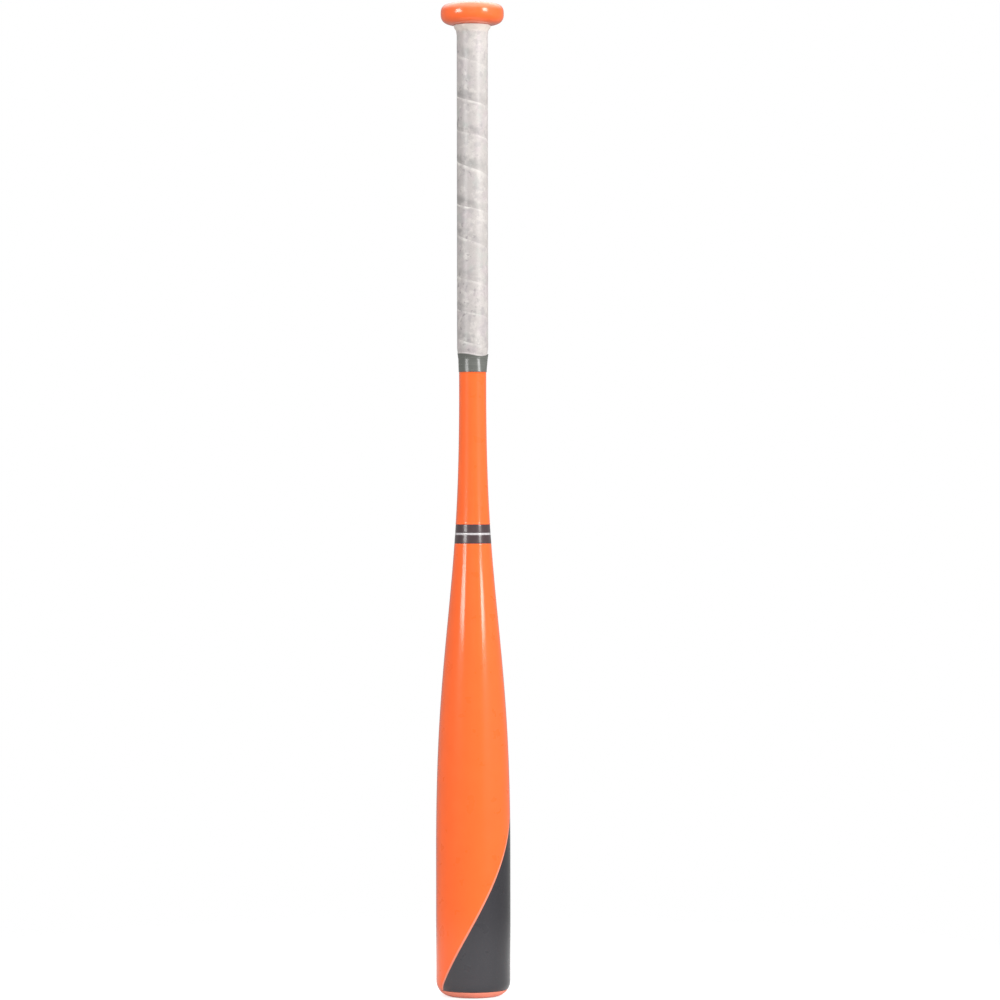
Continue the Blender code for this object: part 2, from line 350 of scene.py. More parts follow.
class Nodes:
    """A node tree, with short ways to add the nodes that the finishes and the studio use."""

    def __init__(self, tree: bpy.types.NodeTree) -> None:
        """Work on a tree that Blender has made."""
        self.tree = tree

    def add(self, kind: str, **settings: object) -> bpy.types.Node:
        """Add a node.

        Args:
            kind: The node's Blender type.
            **settings: Properties to set on it.

        Returns:
            The new node.
        """
        node = self.tree.nodes.new(kind)
        for key, value in settings.items():
            setattr(node, key, value)
        return node

    def feed(self, socket: Socket, value: Value) -> None:
        """Link a socket to another node's output, or set its constant.

        Args:
            socket: The input to fill.
            value: An output socket, a number or a colour.
        """
        if isinstance(value, bpy.types.NodeSocket):
            self.tree.links.new(value, socket)
        elif isinstance(value, tuple) and socket.type == "RGBA":
            socket.default_value = (*value, 1.0)
        else:
            socket.default_value = value

    def fill(self, node: bpy.types.Node, *ordered: Value, **named: Value) -> bpy.types.NodeOutputs:
        """Fill a node's inputs.

        Args:
            node: The node.
            *ordered: Values of its first inputs, in order.
            **named: Values by input name, with underscores for spaces.

        Returns:
            The node's outputs.
        """
        for socket, value in zip(node.inputs, ordered):
            self.feed(socket, value)
        for name, value in named.items():
            self.feed(node.inputs[name.replace("_", " ")], value)
        return node.outputs

    def math(self, operation: str, *values: Value) -> Socket:
        """Output of a Math node, whose inputs are given in order."""
        return self.fill(self.add("ShaderNodeMath", operation=operation), *values)["Value"]

    def product(self, *values: Value) -> Socket:
        """Product of several values."""
        return reduce(lambda left, right: self.math("MULTIPLY", left, right), values)

    def ramp(
        self,
        value: Socket,
        low: float,
        high: float,
        start: Value = 0.0,
        stop: Value = 1.0,
    ) -> Socket:
        """Eased step of a value from one level to another.

        Args:
            value: The value that is mapped.
            low: Where the step starts.
            high: Where it ends.
            start: Level before the step.
            stop: Level after it.

        Returns:
            The mapped value.
        """
        node = self.add("ShaderNodeMapRange", interpolation_type="SMOOTHSTEP")
        levels = {"From_Min": low, "From_Max": high, "To_Min": start, "To_Max": stop}
        return self.fill(node, Value=value, **levels)["Result"]

    def part(self, axis: str, place: Socket) -> Socket:
        """The X, Y or Z of some coordinates."""
        return self.fill(self.add("ShaderNodeSeparateXYZ"), Vector=place)[axis]

    def seen(self) -> Socket:
        """1 where the camera looks straight or through something clear, and 0 for all other light."""
        path = self.add("ShaderNodeLightPath").outputs
        return self.math("MAXIMUM", path["Is Camera Ray"], path["Is Transmission Ray"])


class Shader(Nodes):
    """A material's nodes, with its Principled shader and the piece's own coordinates."""

    def __init__(self, name: str) -> None:
        """Start a material.

        Args:
            name: The material's name.
        """
        self.material = bpy.data.materials.new(name)
        self.material.use_nodes = True
        super().__init__(self.material.node_tree)
        self.surface = self.tree.nodes["Principled BSDF"]
        self.place = self.add("ShaderNodeTexCoord").outputs["Object"]

    def set(self, **inputs: Value) -> None:
        """Fill inputs of the Principled shader, such as Base_Color or Coat_Weight."""
        self.fill(self.surface, **inputs)

    def mix(self, share: Value, first: Value, second: Value) -> Socket:
        """Blend of two colours.

        Args:
            share: How much of the second colour shows.
            first: The colour at share 0.
            second: The colour at share 1.

        Returns:
            The blended colour.
        """
        node = self.add("ShaderNodeMix", data_type="RGBA")
        colours = [socket for socket in node.inputs if socket.type == "RGBA"]
        self.feed(node.inputs["Factor"], share)
        self.feed(colours[0], first)
        self.feed(colours[1], second)
        return next(socket for socket in node.outputs if socket.type == "RGBA")

    def mapped(self, along: float = 1.0, turn: float = 0.0) -> Socket:
        """The piece's coordinates, stretched along the bat, with a bearing turned to the front."""
        return self.fill(
            self.add("ShaderNodeMapping"),
            Vector=self.place,
            Scale=(1.0, 1.0, along),
            Rotation=(0.0, 0.0, -turn),
        )["Vector"]

    def noise(self, cells: float, detail: float, place: Socket | None = None) -> Socket:
        """Smooth noise about a mean of a half, by its cells per metre and octaves of detail."""
        node = self.add("ShaderNodeTexNoise")
        return self.fill(node, Vector=place or self.place, Scale=cells, Detail=detail)["Fac"]

    def pebbles(self, cells: float, smoothness: float) -> Socket:
        """Rounded pebbles, as a height from 0 between them to about 1 on them.

        Args:
            cells: Pebbles per metre.
            smoothness: How softly they run into each other, from 0 to 1.

        Returns:
            The height.
        """
        node = self.add("ShaderNodeTexVoronoi", feature="SMOOTH_F1")
        outputs = self.fill(node, Vector=self.place, Scale=cells, Smoothness=smoothness)
        return self.math("SUBTRACT", 1.0, outputs["Distance"])

    def bump(self, height: Socket, depth: float) -> Socket:
        """Normals of a fine relief, whose height goes from 0 to 1 and its depth is in metres."""
        node = self.add("ShaderNodeBump")
        return self.fill(node, Height=height, Distance=depth, Strength=1.0)["Normal"]

    def bearing(self, zero: float) -> Socket:
        """Bearing about the axis in radians, from minus half a turn to half a turn about a zero."""
        place = self.mapped(turn=zero)
        return self.math("ARCTAN2", self.part("X", place), self.product(self.part("Y", place), -1.0))

    def height(self) -> Socket:
        """Height above the floor, in metres."""
        return self.part("Z", self.place)


@dataclass(frozen=True)
class Patches:
    """Soft patches of noise, and how strongly they show between them and on them."""

    cells: float
    detail: float = 3.0
    low: float = 0.3
    high: float = 0.7
    least: float = 0.0
    most: float = 1.0

    def share(self, shader: Shader) -> Socket:
        """How strongly the patches show at each place."""
        spots = shader.noise(self.cells, self.detail)
        return shader.ramp(spots, self.low, self.high, self.least, self.most)


@dataclass(frozen=True)
class Finish:
    """What all finishes share: a name, a colour, a roughness, and how uneven the two are."""

    name: str
    colour: Colour
    roughness: float
    mottle_cells: float = 45.0
    mottle_spread: float = 0.02
    rough_cells: float = 300.0
    rough_spread: float = 0.05

    def material(self) -> bpy.types.Material:
        """Make the finish's material.

        Returns:
            A node material.
        """
        shader = Shader(self.name)
        shader.set(Metallic=0.0)
        self.dress(shader)
        return shader.material

    def cover(self, piece: Piece) -> None:
        """Give a piece this finish and no other."""
        piece.data.materials.clear()
        piece.data.materials.append(self.material())

    def between(self, shader: Shader, share: Socket, dark: float, light: float) -> Socket:
        """The colour from a darker to a lighter tone of it, by a share."""
        return shader.mix(share, shaded(self.colour, dark), shaded(self.colour, light))

    def mottled(self, shader: Shader) -> Socket:
        """The colour with a soft, uneven tone."""
        patches = Patches(self.mottle_cells).share(shader)
        return self.between(shader, patches, 1 - self.mottle_spread, 1 + self.mottle_spread)

    def uneven(self, shader: Shader) -> Socket:
        """The roughness with soft, uneven patches."""
        low, high = self.roughness - self.rough_spread, self.roughness + self.rough_spread
        return Patches(self.rough_cells, least=low, most=high).share(shader)

    def dress(self, shader: Shader) -> None:
        """Add the finish's own nodes. Each kind of finish has its own."""
        raise NotImplementedError


@dataclass(frozen=True)
class GlossPaint(Finish):
    """Sprayed paint under clear coat, with the faint ripple of sprayed lacquer."""

    rough_cells: float = 90.0
    coat: float = 1.0
    coat_roughness: float = 0.08
    ripple_cells: float = 420.0
    ripple_depth: float = 0.0003 * MM
    ground_gloss: float = 0.15

    def dress(self, shader: Shader) -> None:
        """Add the paint, the coat and its ripple.

        Args:
            shader: The material's nodes.
        """
        ripple = shader.bump(shader.noise(self.ripple_cells, detail=1.0), self.ripple_depth)
        shader.set(
            Base_Color=self.paint(shader),
            Roughness=self.uneven(shader),
            Specular_IOR_Level=self.ground_gloss,
            Coat_Weight=self.coat,
            Coat_Roughness=self.coat_roughness,
            Coat_Normal=ripple,
            Normal=ripple,
        )

    def paint(self, shader: Shader) -> Socket:
        """Colour under the clear coat."""
        return self.mottled(shader)


@dataclass(frozen=True)
class BlockPaint(GlossPaint):
    """Gloss paint with a slanting block of a second colour, edged with a pinstripe.

    The block's edge rises round the barrel almost as a straight line, and falls again behind. Round the
    right side the block darkens towards its peak, with painted shade.
    """

    block_colour: Colour = srgb(55, 54, 58)
    # Painted shade: the colour that the block darkens to round its right side, towards the peak of its
    # edge.
    block_painted_shade: Colour = srgb(37, 36, 39)
    painted_shade_start: float = 0.3
    painted_shade_stop: float = 1.8
    fleck_colour: Colour = srgb(96, 95, 98)
    flecks: Patches = Patches(1500.0, 2.0, 0.55, 0.75, most=0.15)
    stripe_colour: Colour = srgb(240, 136, 108)
    stripe_height: float = 3.0 * MM
    peak_bearing: float = math.radians(105)
    peak_height: float = 160.6 * MM
    fall_per_radian: float = 61.0 * MM
    fall_ease: float = 2.4 * MM
    edge_softness: float = 0.25 * MM

    def paint(self, shader: Shader) -> Socket:
        """Colour under the clear coat, with the block and its pinstripe.

        Args:
            shader: The material's nodes.

        Returns:
            The colour.
        """
        round_from_peak = shader.math("ABSOLUTE", shader.bearing(self.peak_bearing))
        eased = shader.product(round_from_peak, -self.fall_ease)
        rate = shader.math("ADD", eased, self.fall_per_radian)
        edge = shader.math("SUBTRACT", self.peak_height, shader.product(round_from_peak, rate))
        above = shader.math("SUBTRACT", shader.height(), edge)
        soft = self.edge_softness
        over_stripe = shader.ramp(above, self.stripe_height - soft, self.stripe_height + soft)
        over_block = shader.ramp(above, -soft, soft)
        # Painted shade: the block's colour darkens from its own to the shade colour towards the bearing
        # of its peak.
        fade = shader.ramp(round_from_peak, self.painted_shade_start, self.painted_shade_stop)
        block = shader.mix(fade, self.block_painted_shade, self.block_colour)
        block = shader.mix(self.flecks.share(shader), block, self.fleck_colour)
        stripe = shader.mix(over_stripe, self.stripe_colour, super().paint(shader))
        return shader.mix(over_block, block, stripe)


@dataclass(frozen=True)
class MouldedUrethane(Finish):
    """Moulded urethane with a skin that is glossy on the knob and satin on the cap."""

    mottle_cells: float = 110.0
    mottle_spread: float = 0.03
    rough_cells: float = 240.0
    rough_spread: float = 0.06
    coat: float = 0.0
    coat_roughness: float = 0.12
    coat_index: float = 1.5
    grain_cells: float = 1600.0
    grain_depth: float = 0.0015 * MM
    skin_gloss: float = 0.15

    def dress(self, shader: Shader) -> None:
        """Add the mottled colour, the skin and its fine grain.

        Args:
            shader: The material's nodes.
        """
        grain = shader.bump(shader.noise(self.grain_cells, detail=3.0), self.grain_depth)
        shader.set(
            Base_Color=self.mottled(shader),
            Roughness=self.uneven(shader),
            Specular_IOR_Level=self.skin_gloss,
            Coat_Weight=self.coat,
            Coat_Roughness=self.coat_roughness,
            Coat_IOR=self.coat_index,
            Normal=grain,
        )


@dataclass(frozen=True)
class GripSkin(Finish):
    """Pebbled synthetic leather, rubbed and soiled, with painted shade and light: greyer seams with
    lighter edges, a darker side, and a lighter skin near the knob.
    """

    mottle_cells: float = 60.0
    mottle_spread: float = 0.05
    rough_cells: float = 200.0
    rough_spread: float = 0.06
    gloss: float = 0.6
    cool: Colour = srgb(175, 180, 174)
    warm: Colour = srgb(187, 175, 178)
    pale: Colour = srgb(205, 200, 195)
    dull: Colour = srgb(166, 160, 161)
    tone_patches: tuple[Patches, ...] = (
        Patches(105.0, 4.0, 0.52, 0.68, most=0.6),
        Patches(88.0, 4.0, 0.5, 0.66, most=0.6),
        Patches(130.0, 5.0, 0.5, 0.64, most=0.65),
        Patches(175.0, 5.0, 0.52, 0.64, most=0.6),
    )
    smudge: Colour = srgb(133, 126, 128)
    blots: Patches = Patches(330.0, 3.0, 0.56, 0.68)
    blot_groups: Patches = Patches(75.0, 1.0, 0.44, 0.58, most=0.85)
    # The side round this bearing is duller and more marked, as soil and painted shade; the other side
    # is lighter, as painted light.
    dark_side_bearing: float = math.radians(-75)
    dark_side_reach: float = math.radians(40)
    light_side_reach: float = math.radians(110)
    dark_side_dull_share: float = 0.4
    light_side_mark_level: float = 0.3
    # A lighter tone towards the knob, more on the lighter side: a less handled skin, and painted light
    # against the knob's shade.
    fresh_and_lit: Colour = srgb(216, 211, 207)
    fresh_and_lit_start: float = 698 * MM
    fresh_and_lit_stop: float = 735 * MM
    light_side_fresh_and_lit_share: float = 0.45
    dark_side_fresh_and_lit_share: float = 0.1
    fresh_wear: float = 0.4
    # Painted light: the strip's first few millimetres under the knob are lightened against the knob's
    # shadow, and warmed with a painted orange glow of the knob.
    knob_painted_light: Colour = srgb(231, 218, 206)
    knob_light_start: float = 739.2 * MM
    knob_light_stop: float = 742.5 * MM
    knob_light_share: float = 0.6
    pebble_cells: float = 1500.0
    pebble_smoothness: float = 0.6
    pebble_depth: float = 0.04 * MM
    pebble_top: float = 0.75
    pebble_foot: float = 0.3
    # Painted shade: a darker tone in the low places between the pebbles.
    hollow: Colour = srgb(161, 156, 154)
    pebble_shade_share: float = 0.3
    crease_cells: float = 260.0
    crease_weight: float = 1.5
    seam_attribute: str = "seam"
    # Seam marks: a greyer band above each seam, as dirt and painted shade, and a lighter rubbed edge,
    # as wear and a painted highlight.
    seam: Colour = srgb(147, 143, 141)
    rubbed_and_highlit: Colour = srgb(211, 207, 202)
    wear: Patches = Patches(170.0, 3.0, 0.38, 0.58, least=0.2)
    low_start: float = 570 * MM
    low_stop: float = 620 * MM
    low_wear: float = 0.6

    def by_side(self, shader: Shader, aside: Socket, soiled: float, clean: float) -> Socket:
        """A level that goes from the darker side, with soil and painted shade, to the lighter side,
        with painted light.
        """
        return shader.ramp(aside, self.dark_side_reach, self.light_side_reach, soiled, clean)

    def ground(self, shader: Shader, up: Socket, aside: Socket) -> Socket:
        """Uneven tone of the skin: duller on the darker side, as soil and painted shade, and lighter
        towards the knob, as a less handled skin and painted light.

        Args:
            shader: The material's nodes.
            up: Height above the floor.
            aside: Angle from the darker side.

        Returns:
            The tone.
        """
        # Lighter towards the knob: less handled skin and painted light against the knob's shade.
        unused_and_lit = shader.product(
            shader.ramp(up, self.fresh_and_lit_start, self.fresh_and_lit_stop),
            self.by_side(shader, aside, self.dark_side_fresh_and_lit_share, self.light_side_fresh_and_lit_share),
        )
        # Duller tone on the darker side: painted shade, with soil.
        darker_side = self.by_side(shader, aside, self.dark_side_dull_share, 0.0)
        tone = shader.mix(darker_side, self.mottled(shader), self.dull)
        tone = shader.mix(unused_and_lit, tone, self.fresh_and_lit)
        for colour, patches in zip((self.cool, self.warm, self.pale, self.dull), self.tone_patches):
            tone = shader.mix(patches.share(shader), tone, colour)
        return tone

    def seamed(self, shader: Shader, tone: Socket, up: Socket, darker_side: Socket) -> Socket:
        """Tone with the dirt and painted shade of the seams, and the rubbed edges beside them with
        their painted highlight.

        Args:
            shader: The material's nodes.
            tone: The tone without them.
            up: Height above the floor.
            darker_side: How strongly the marks show at the place: most on the darker side, as soil and
                painted shade.

        Returns:
            The tone.
        """
        wear = shader.product(
            self.wear.share(shader),
            darker_side,
            shader.ramp(up, self.fresh_and_lit_start, self.fresh_and_lit_stop, 1.0, self.fresh_wear),
            shader.ramp(up, self.low_start, self.low_stop, self.low_wear, 1.0),
        )
        mark = shader.add("ShaderNodeAttribute", attribute_name=self.seam_attribute).outputs["Fac"]
        # Dirt and painted shade above each seam, then wear and a painted highlight along its rubbed
        # edge.
        for colour, full in ((self.seam, 1.0), (self.rubbed_and_highlit, -1.0)):
            tone = shader.mix(shader.product(shader.ramp(mark, 0.0, full), wear), tone, colour)
        return tone

    def dress(self, shader: Shader) -> None:
        """Add the skin's tones, its pebbles and its creases, with painted shade between the pebbles and
        painted light under the knob.

        Args:
            shader: The material's nodes.
        """
        up = shader.height()
        aside = shader.math("ABSOLUTE", shader.bearing(self.dark_side_bearing))
        # Smudges and seam marks show most on the darker side: soil and painted shade.
        darker_side = self.by_side(shader, aside, 1.0, self.light_side_mark_level)
        smudges = shader.product(self.blots.share(shader), self.blot_groups.share(shader), darker_side)
        pebbles = shader.pebbles(self.pebble_cells, self.pebble_smoothness)
        # Painted shade between the pebbles.
        pebble_shade = shader.ramp(pebbles, self.pebble_top, self.pebble_foot, 0.0, self.pebble_shade_share)
        # Painted light and painted orange glow just under the knob.
        painted_light_under_knob = shader.ramp(up, self.knob_light_start, self.knob_light_stop, 0.0, self.knob_light_share)
        tone = self.ground(shader, up, aside)
        tone = shader.mix(smudges, tone, self.smudge)
        tone = shader.mix(pebble_shade, tone, self.hollow)
        tone = self.seamed(shader, tone, up, darker_side)
        tone = shader.mix(painted_light_under_knob, tone, self.knob_painted_light)
        creases = shader.product(shader.noise(self.crease_cells, detail=4.0), self.crease_weight)
        shader.set(
            Base_Color=tone,
            Roughness=self.uneven(shader),
            Specular_IOR_Level=self.gloss,
            Normal=shader.bump(shader.math("ADD", pebbles, creases), self.pebble_depth),
        )


@dataclass(frozen=True)
class StretchedVinyl(Finish):
    """Vinyl tape with fine stretch lines round the bat."""

    rough_spread: float = 0.03
    line_cells: float = 24.0
    line_stretch: float = 70.0
    line_depth: float = 0.006 * MM
    line_low: float = 0.4
    line_high: float = 0.75
    dark: float = 0.92
    light: float = 1.12
    gloss: float = 0.8

    def dress(self, shader: Shader) -> None:
        """Add the tape's tone and its stretch lines.

        Args:
            shader: The material's nodes.
        """
        place = shader.mapped(self.line_stretch)
        lines = shader.noise(self.line_cells, detail=3.0, place=place)
        pale = shader.ramp(lines, self.line_low, self.line_high)
        shader.set(
            Base_Color=self.between(shader, pale, self.dark, self.light),
            Roughness=self.uneven(shader),
            Specular_IOR_Level=self.gloss,
            Normal=shader.bump(lines, self.line_depth),
        )


@dataclass(frozen=True)
class Elastomer(Finish):
    """Satin elastomer with faint mould lines round the bat and a fine bloom."""

    rough_cells: float = 250.0
    line_cells: float = 12.0
    line_stretch: float = 110.0
    line_depth: float = 0.004 * MM
    bloom: Patches = Patches(900.0, 3.0, 0.4, 0.7)
    dark: float = 0.92
    light: float = 1.1
    coat: float = 0.0
    coat_roughness: float = 0.11

    def dress(self, shader: Shader) -> None:
        """Add the mould lines and the bloom, under any clear coat.

        Args:
            shader: The material's nodes.
        """
        place = shader.mapped(self.line_stretch)
        lines = shader.noise(self.line_cells, detail=2.0, place=place)
        shader.set(
            Base_Color=self.between(shader, self.bloom.share(shader), self.dark, self.light),
            Roughness=self.uneven(shader),
            Coat_Weight=self.coat,
            Coat_Roughness=self.coat_roughness,
            Normal=shader.bump(lines, self.line_depth),
        )


@dataclass(frozen=True)
class WovenBacking(Finish):
    """Adhesive tape with a plain weave that shows through the glue."""

    threads: float = 2600.0
    thread_depth: float = 0.04 * MM
    waviness: float = 0.6
    dark: float = 0.8
    light: float = 1.1

    def dress(self, shader: Shader) -> None:
        """Add the weave.

        Args:
            shader: The material's nodes.
        """
        node = shader.add("ShaderNodeTexWave", wave_type="BANDS", bands_direction="Z")
        scale = self.threads / math.tau
        rings = shader.fill(node, Vector=shader.place, Scale=scale, Distortion=self.waviness)
        weave = shader.product(rings["Fac"], shader.noise(self.threads, detail=1.0))
        shader.set(
            Base_Color=self.between(shader, weave, self.dark, self.light),
            Roughness=self.uneven(shader),
            Normal=shader.bump(weave, self.thread_depth),
        )


@dataclass
class BatOutline:
    """Outside of the bare bat, which every piece follows."""

    handle_radius: float = field(default_factory=lambda: half_width("handle_end_plug"))
    barrel_radius: float = field(default_factory=lambda: half_width("barrel_shell"))
    taper_top: float = 465 * MM
    taper_bottom: float = 110 * MM
    taper_sharpness: float = 1.9
    end_rounding: float = 12 * MM
    barrel_wall: float = 5 * MM
    throat_wall: float = 2.2 * MM
    ring_step: float = 6 * MM
    least_step: float = 0.3 * MM

    def barrel_share(self, height: float) -> float:
        """How far the outline has turned from handle to barrel at a height.

        Args:
            height: The height above the floor.

        Returns:
            A share from 0 at the handle to 1 at the barrel.
        """
        along = (self.taper_top - height) / (self.taper_top - self.taper_bottom)
        along = min(max(along, 0.0), 1.0)
        rise = along**self.taper_sharpness
        fall = (1.0 - along) ** self.taper_sharpness
        return rise / (rise + fall)

    def tube(self, height: float) -> float:
        """Outside radius of the tubes at a height, before the barrel's end is rounded."""
        growth = self.barrel_radius - self.handle_radius
        return self.handle_radius + growth * self.barrel_share(height)

    def surface(self, height: float) -> float:
        """Outside radius of the bare bat at a height."""
        over = max(self.end_rounding - height, 0.0)
        return self.tube(height) - self.end_rounding + math.sqrt(self.end_rounding**2 - over**2)

    def throat(self, height: float) -> float:
        """Inside radius of the barrel at a height."""
        wall = self.throat_wall + (self.barrel_wall - self.throat_wall) * self.barrel_share(height)
        return self.tube(height) - wall

    def bore(self) -> float:
        """Inside radius of the barrel where it is straight."""
        return self.barrel_radius - self.barrel_wall

    def heights(self, high: float, low: float) -> list[float]:
        """Heights for the rings of a piece, close where the outline curves.

        Args:
            high: The first height.
            low: The last height.

        Returns:
            Heights from high down to low.
        """
        count = round((self.taper_top - self.taper_bottom) / self.ring_step)
        taper = [self.taper_top - self.ring_step * step for step in range(count + 1)]
        sines = [math.sin(math.pi / 2 * step / ARC_STEPS) for step in range(ARC_STEPS)]
        arc = [self.end_rounding * (1 - sine) for sine in sines]
        least = self.least_step
        return [high, *[z for z in taper + arc if low + least < z < high - least], low]

    def followed(
        self,
        radius_at: Callable[[float], float],
        high: float,
        low: float,
        offset: float = 0.0,
    ) -> Profile:
        """Outline that runs down one of the bat's surfaces, or at an offset outside it."""
        return [(radius_at(z) + offset, z) for z in self.heights(high, low)]


@dataclass
class SubAssembly:
    """A part of the bat whose pieces follow its outline."""

    outline: BatOutline

    def seat(self, piece: Piece, node: str, slot: Slot, finish: Finish) -> Piece:
        """Dress a piece, and let it stand for its solid.

        Args:
            piece: The modelled piece.
            node: The solid that it stands for.
            slot: Not used.
            finish: What its surface is made of.

        Returns:
            The piece.
        """
        finish.cover(piece)
        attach(piece, BODY)
        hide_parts(node)
        LOG.info("%s stands for %s, %d faces", piece.name, node, len(piece.data.polygons))
        return piece


@dataclass
class Knob(SubAssembly):
    """Moulded knob: a puck with a rounded underside, a flared neck and a bare label recess."""

    waist_drop: float = 7.6 * MM
    top_radius: float = 16 * MM
    crown_fullness: float = 2.7
    under_height: float = 8.5 * MM
    under_fullness: float = 2.6
    roof: float = 5 * MM
    neck_wall: float = 0.25 * MM
    neck_flare: float = 2.0 * MM
    flare_start: float = 1.6 * MM
    flare_stop: float = 4.9 * MM
    recess_radius: float = 13 * MM
    recess_depth: float = 0.5 * MM
    recess_rounding: float = 0.4 * MM
    finish: Finish = MouldedUrethane(
        "knob_urethane", srgb(254, 105, 40), 0.4, coat=1.0, coat_roughness=0.18, coat_index=1.63
    )

    def __post_init__(self) -> None:
        """Take the knob's heights from its solid."""
        low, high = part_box("knob")
        self.top = high.z
        self.waist = self.top - self.waist_drop
        self.bottom = self.waist - self.under_height
        self.neck_bottom = low.z

    def neck_radius(self, height: float) -> float:
        """Outside radius of the neck at a height, flared out under the knob."""
        share = smooth_step(height - self.neck_bottom, self.flare_start, self.flare_stop)
        return self.outline.handle_radius + BOND_GAP + self.neck_wall + self.neck_flare * share

    def build(self) -> Piece:
        """Turn the knob.

        Returns:
            The knob.
        """
        waist_radius = half_width("knob")
        neck_top = self.neck_radius(self.bottom)
        socket = self.outline.handle_radius + BOND_GAP
        floor = self.top - self.recess_depth
        recess = rounded([
            Corner(0.0, floor),
            Corner(self.recess_radius - self.recess_depth, floor, self.recess_rounding),
            Corner(self.recess_radius, self.top, self.recess_rounding),
            Corner(self.top_radius, self.top),
        ])
        centre = (self.top_radius, self.waist)
        width = waist_radius - self.top_radius
        crown = quarter_arc(centre, width, self.waist_drop, 90, 0, self.crown_fullness)
        centre = (neck_top, self.waist)
        width = waist_radius - neck_top
        under = quarter_arc(centre, width, self.under_height, 0, -90, self.under_fullness)
        drop = (self.bottom - self.neck_bottom) / ARC_STEPS
        neck_heights = [self.bottom - drop * step for step in range(1, ARC_STEPS + 1)]
        neck = [(self.neck_radius(z), z) for z in neck_heights]
        roof = self.top - self.roof
        inside = [(socket, self.neck_bottom), (socket, roof), (0.0, roof)]
        piece = Bench.turned("knob_moulding", [*recess, *crown[1:], *under[1:], *neck, *inside])
        return self.seat(piece, "knob", Slot.ORANGE_PAINT, self.finish)


@dataclass
class HandleTube(SubAssembly):
    """Painted handle tube with its spigot, and the rolled lip of paint above the joint."""

    wall: float = 3 * MM
    spigot_wall: float = 2.2 * MM
    bore_taper: float = 100 * MM
    lip_height: float = 1.2 * MM
    lip_rise: float = 0.09 * MM
    lip_rings: int = 8
    lip_guard: float = 0.4 * MM
    finish: Finish = GlossPaint("orange_gloss_paint", srgb(254, 105, 40), 0.32)

    def lip(self, height: float) -> float:
        """Radius of the rolled lip at a height above the joint."""
        swell = math.sin(math.pi * (height - self.shoulder) / self.lip_height) ** 2
        return self.outline.tube(height) + self.lip_rise * swell

    def build(self) -> Piece:
        """Turn the handle tube.

        Returns:
            The handle tube.
        """
        low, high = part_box("handle_tube")
        self.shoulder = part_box("flex_collar")[1].z + BOND_GAP
        spigot = half_width("handle_stopper")
        bore = self.outline.handle_radius - self.wall
        spigot_bore = spigot - self.spigot_wall
        lip_top = self.shoulder + self.lip_height + self.lip_guard
        outside = self.outline.followed(self.outline.tube, high.z, lip_top)
        steps = range(self.lip_rings + 1)
        lip_heights = [self.shoulder + self.lip_height * (1 - step / self.lip_rings) for step in steps]
        lip = [(self.lip(z), z) for z in lip_heights]
        inside = [
            (spigot, self.shoulder),
            (spigot, low.z),
            (spigot_bore, low.z),
            (spigot_bore, self.shoulder),
            (bore, self.shoulder + self.bore_taper),
            (bore, high.z),
        ]
        piece = Bench.turned("painted_handle", [*outside, *lip, *inside])
        return self.seat(piece, "handle_tube", Slot.ORANGE_PAINT, self.finish)


@dataclass
class TapeEdge:
    """Upper edge of the finishing tape: level behind, and pulled down a little in front."""

    overlap: float = 0.9 * MM
    dip_bearing: float = math.radians(34)
    dip_width: float = math.radians(46)
    dip_depth: float = 2.2 * MM

    def __post_init__(self) -> None:
        """Take the edge's height from the tape's solid."""
        self.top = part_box("grip_end_tape")[1].z + self.overlap

    def dip(self, bearing: float) -> float:
        """How far the edge is pulled down at a bearing."""
        off = (bearing - self.dip_bearing + math.pi) % math.tau - math.pi
        return self.dip_depth * math.exp(-((off / self.dip_width) ** 2))


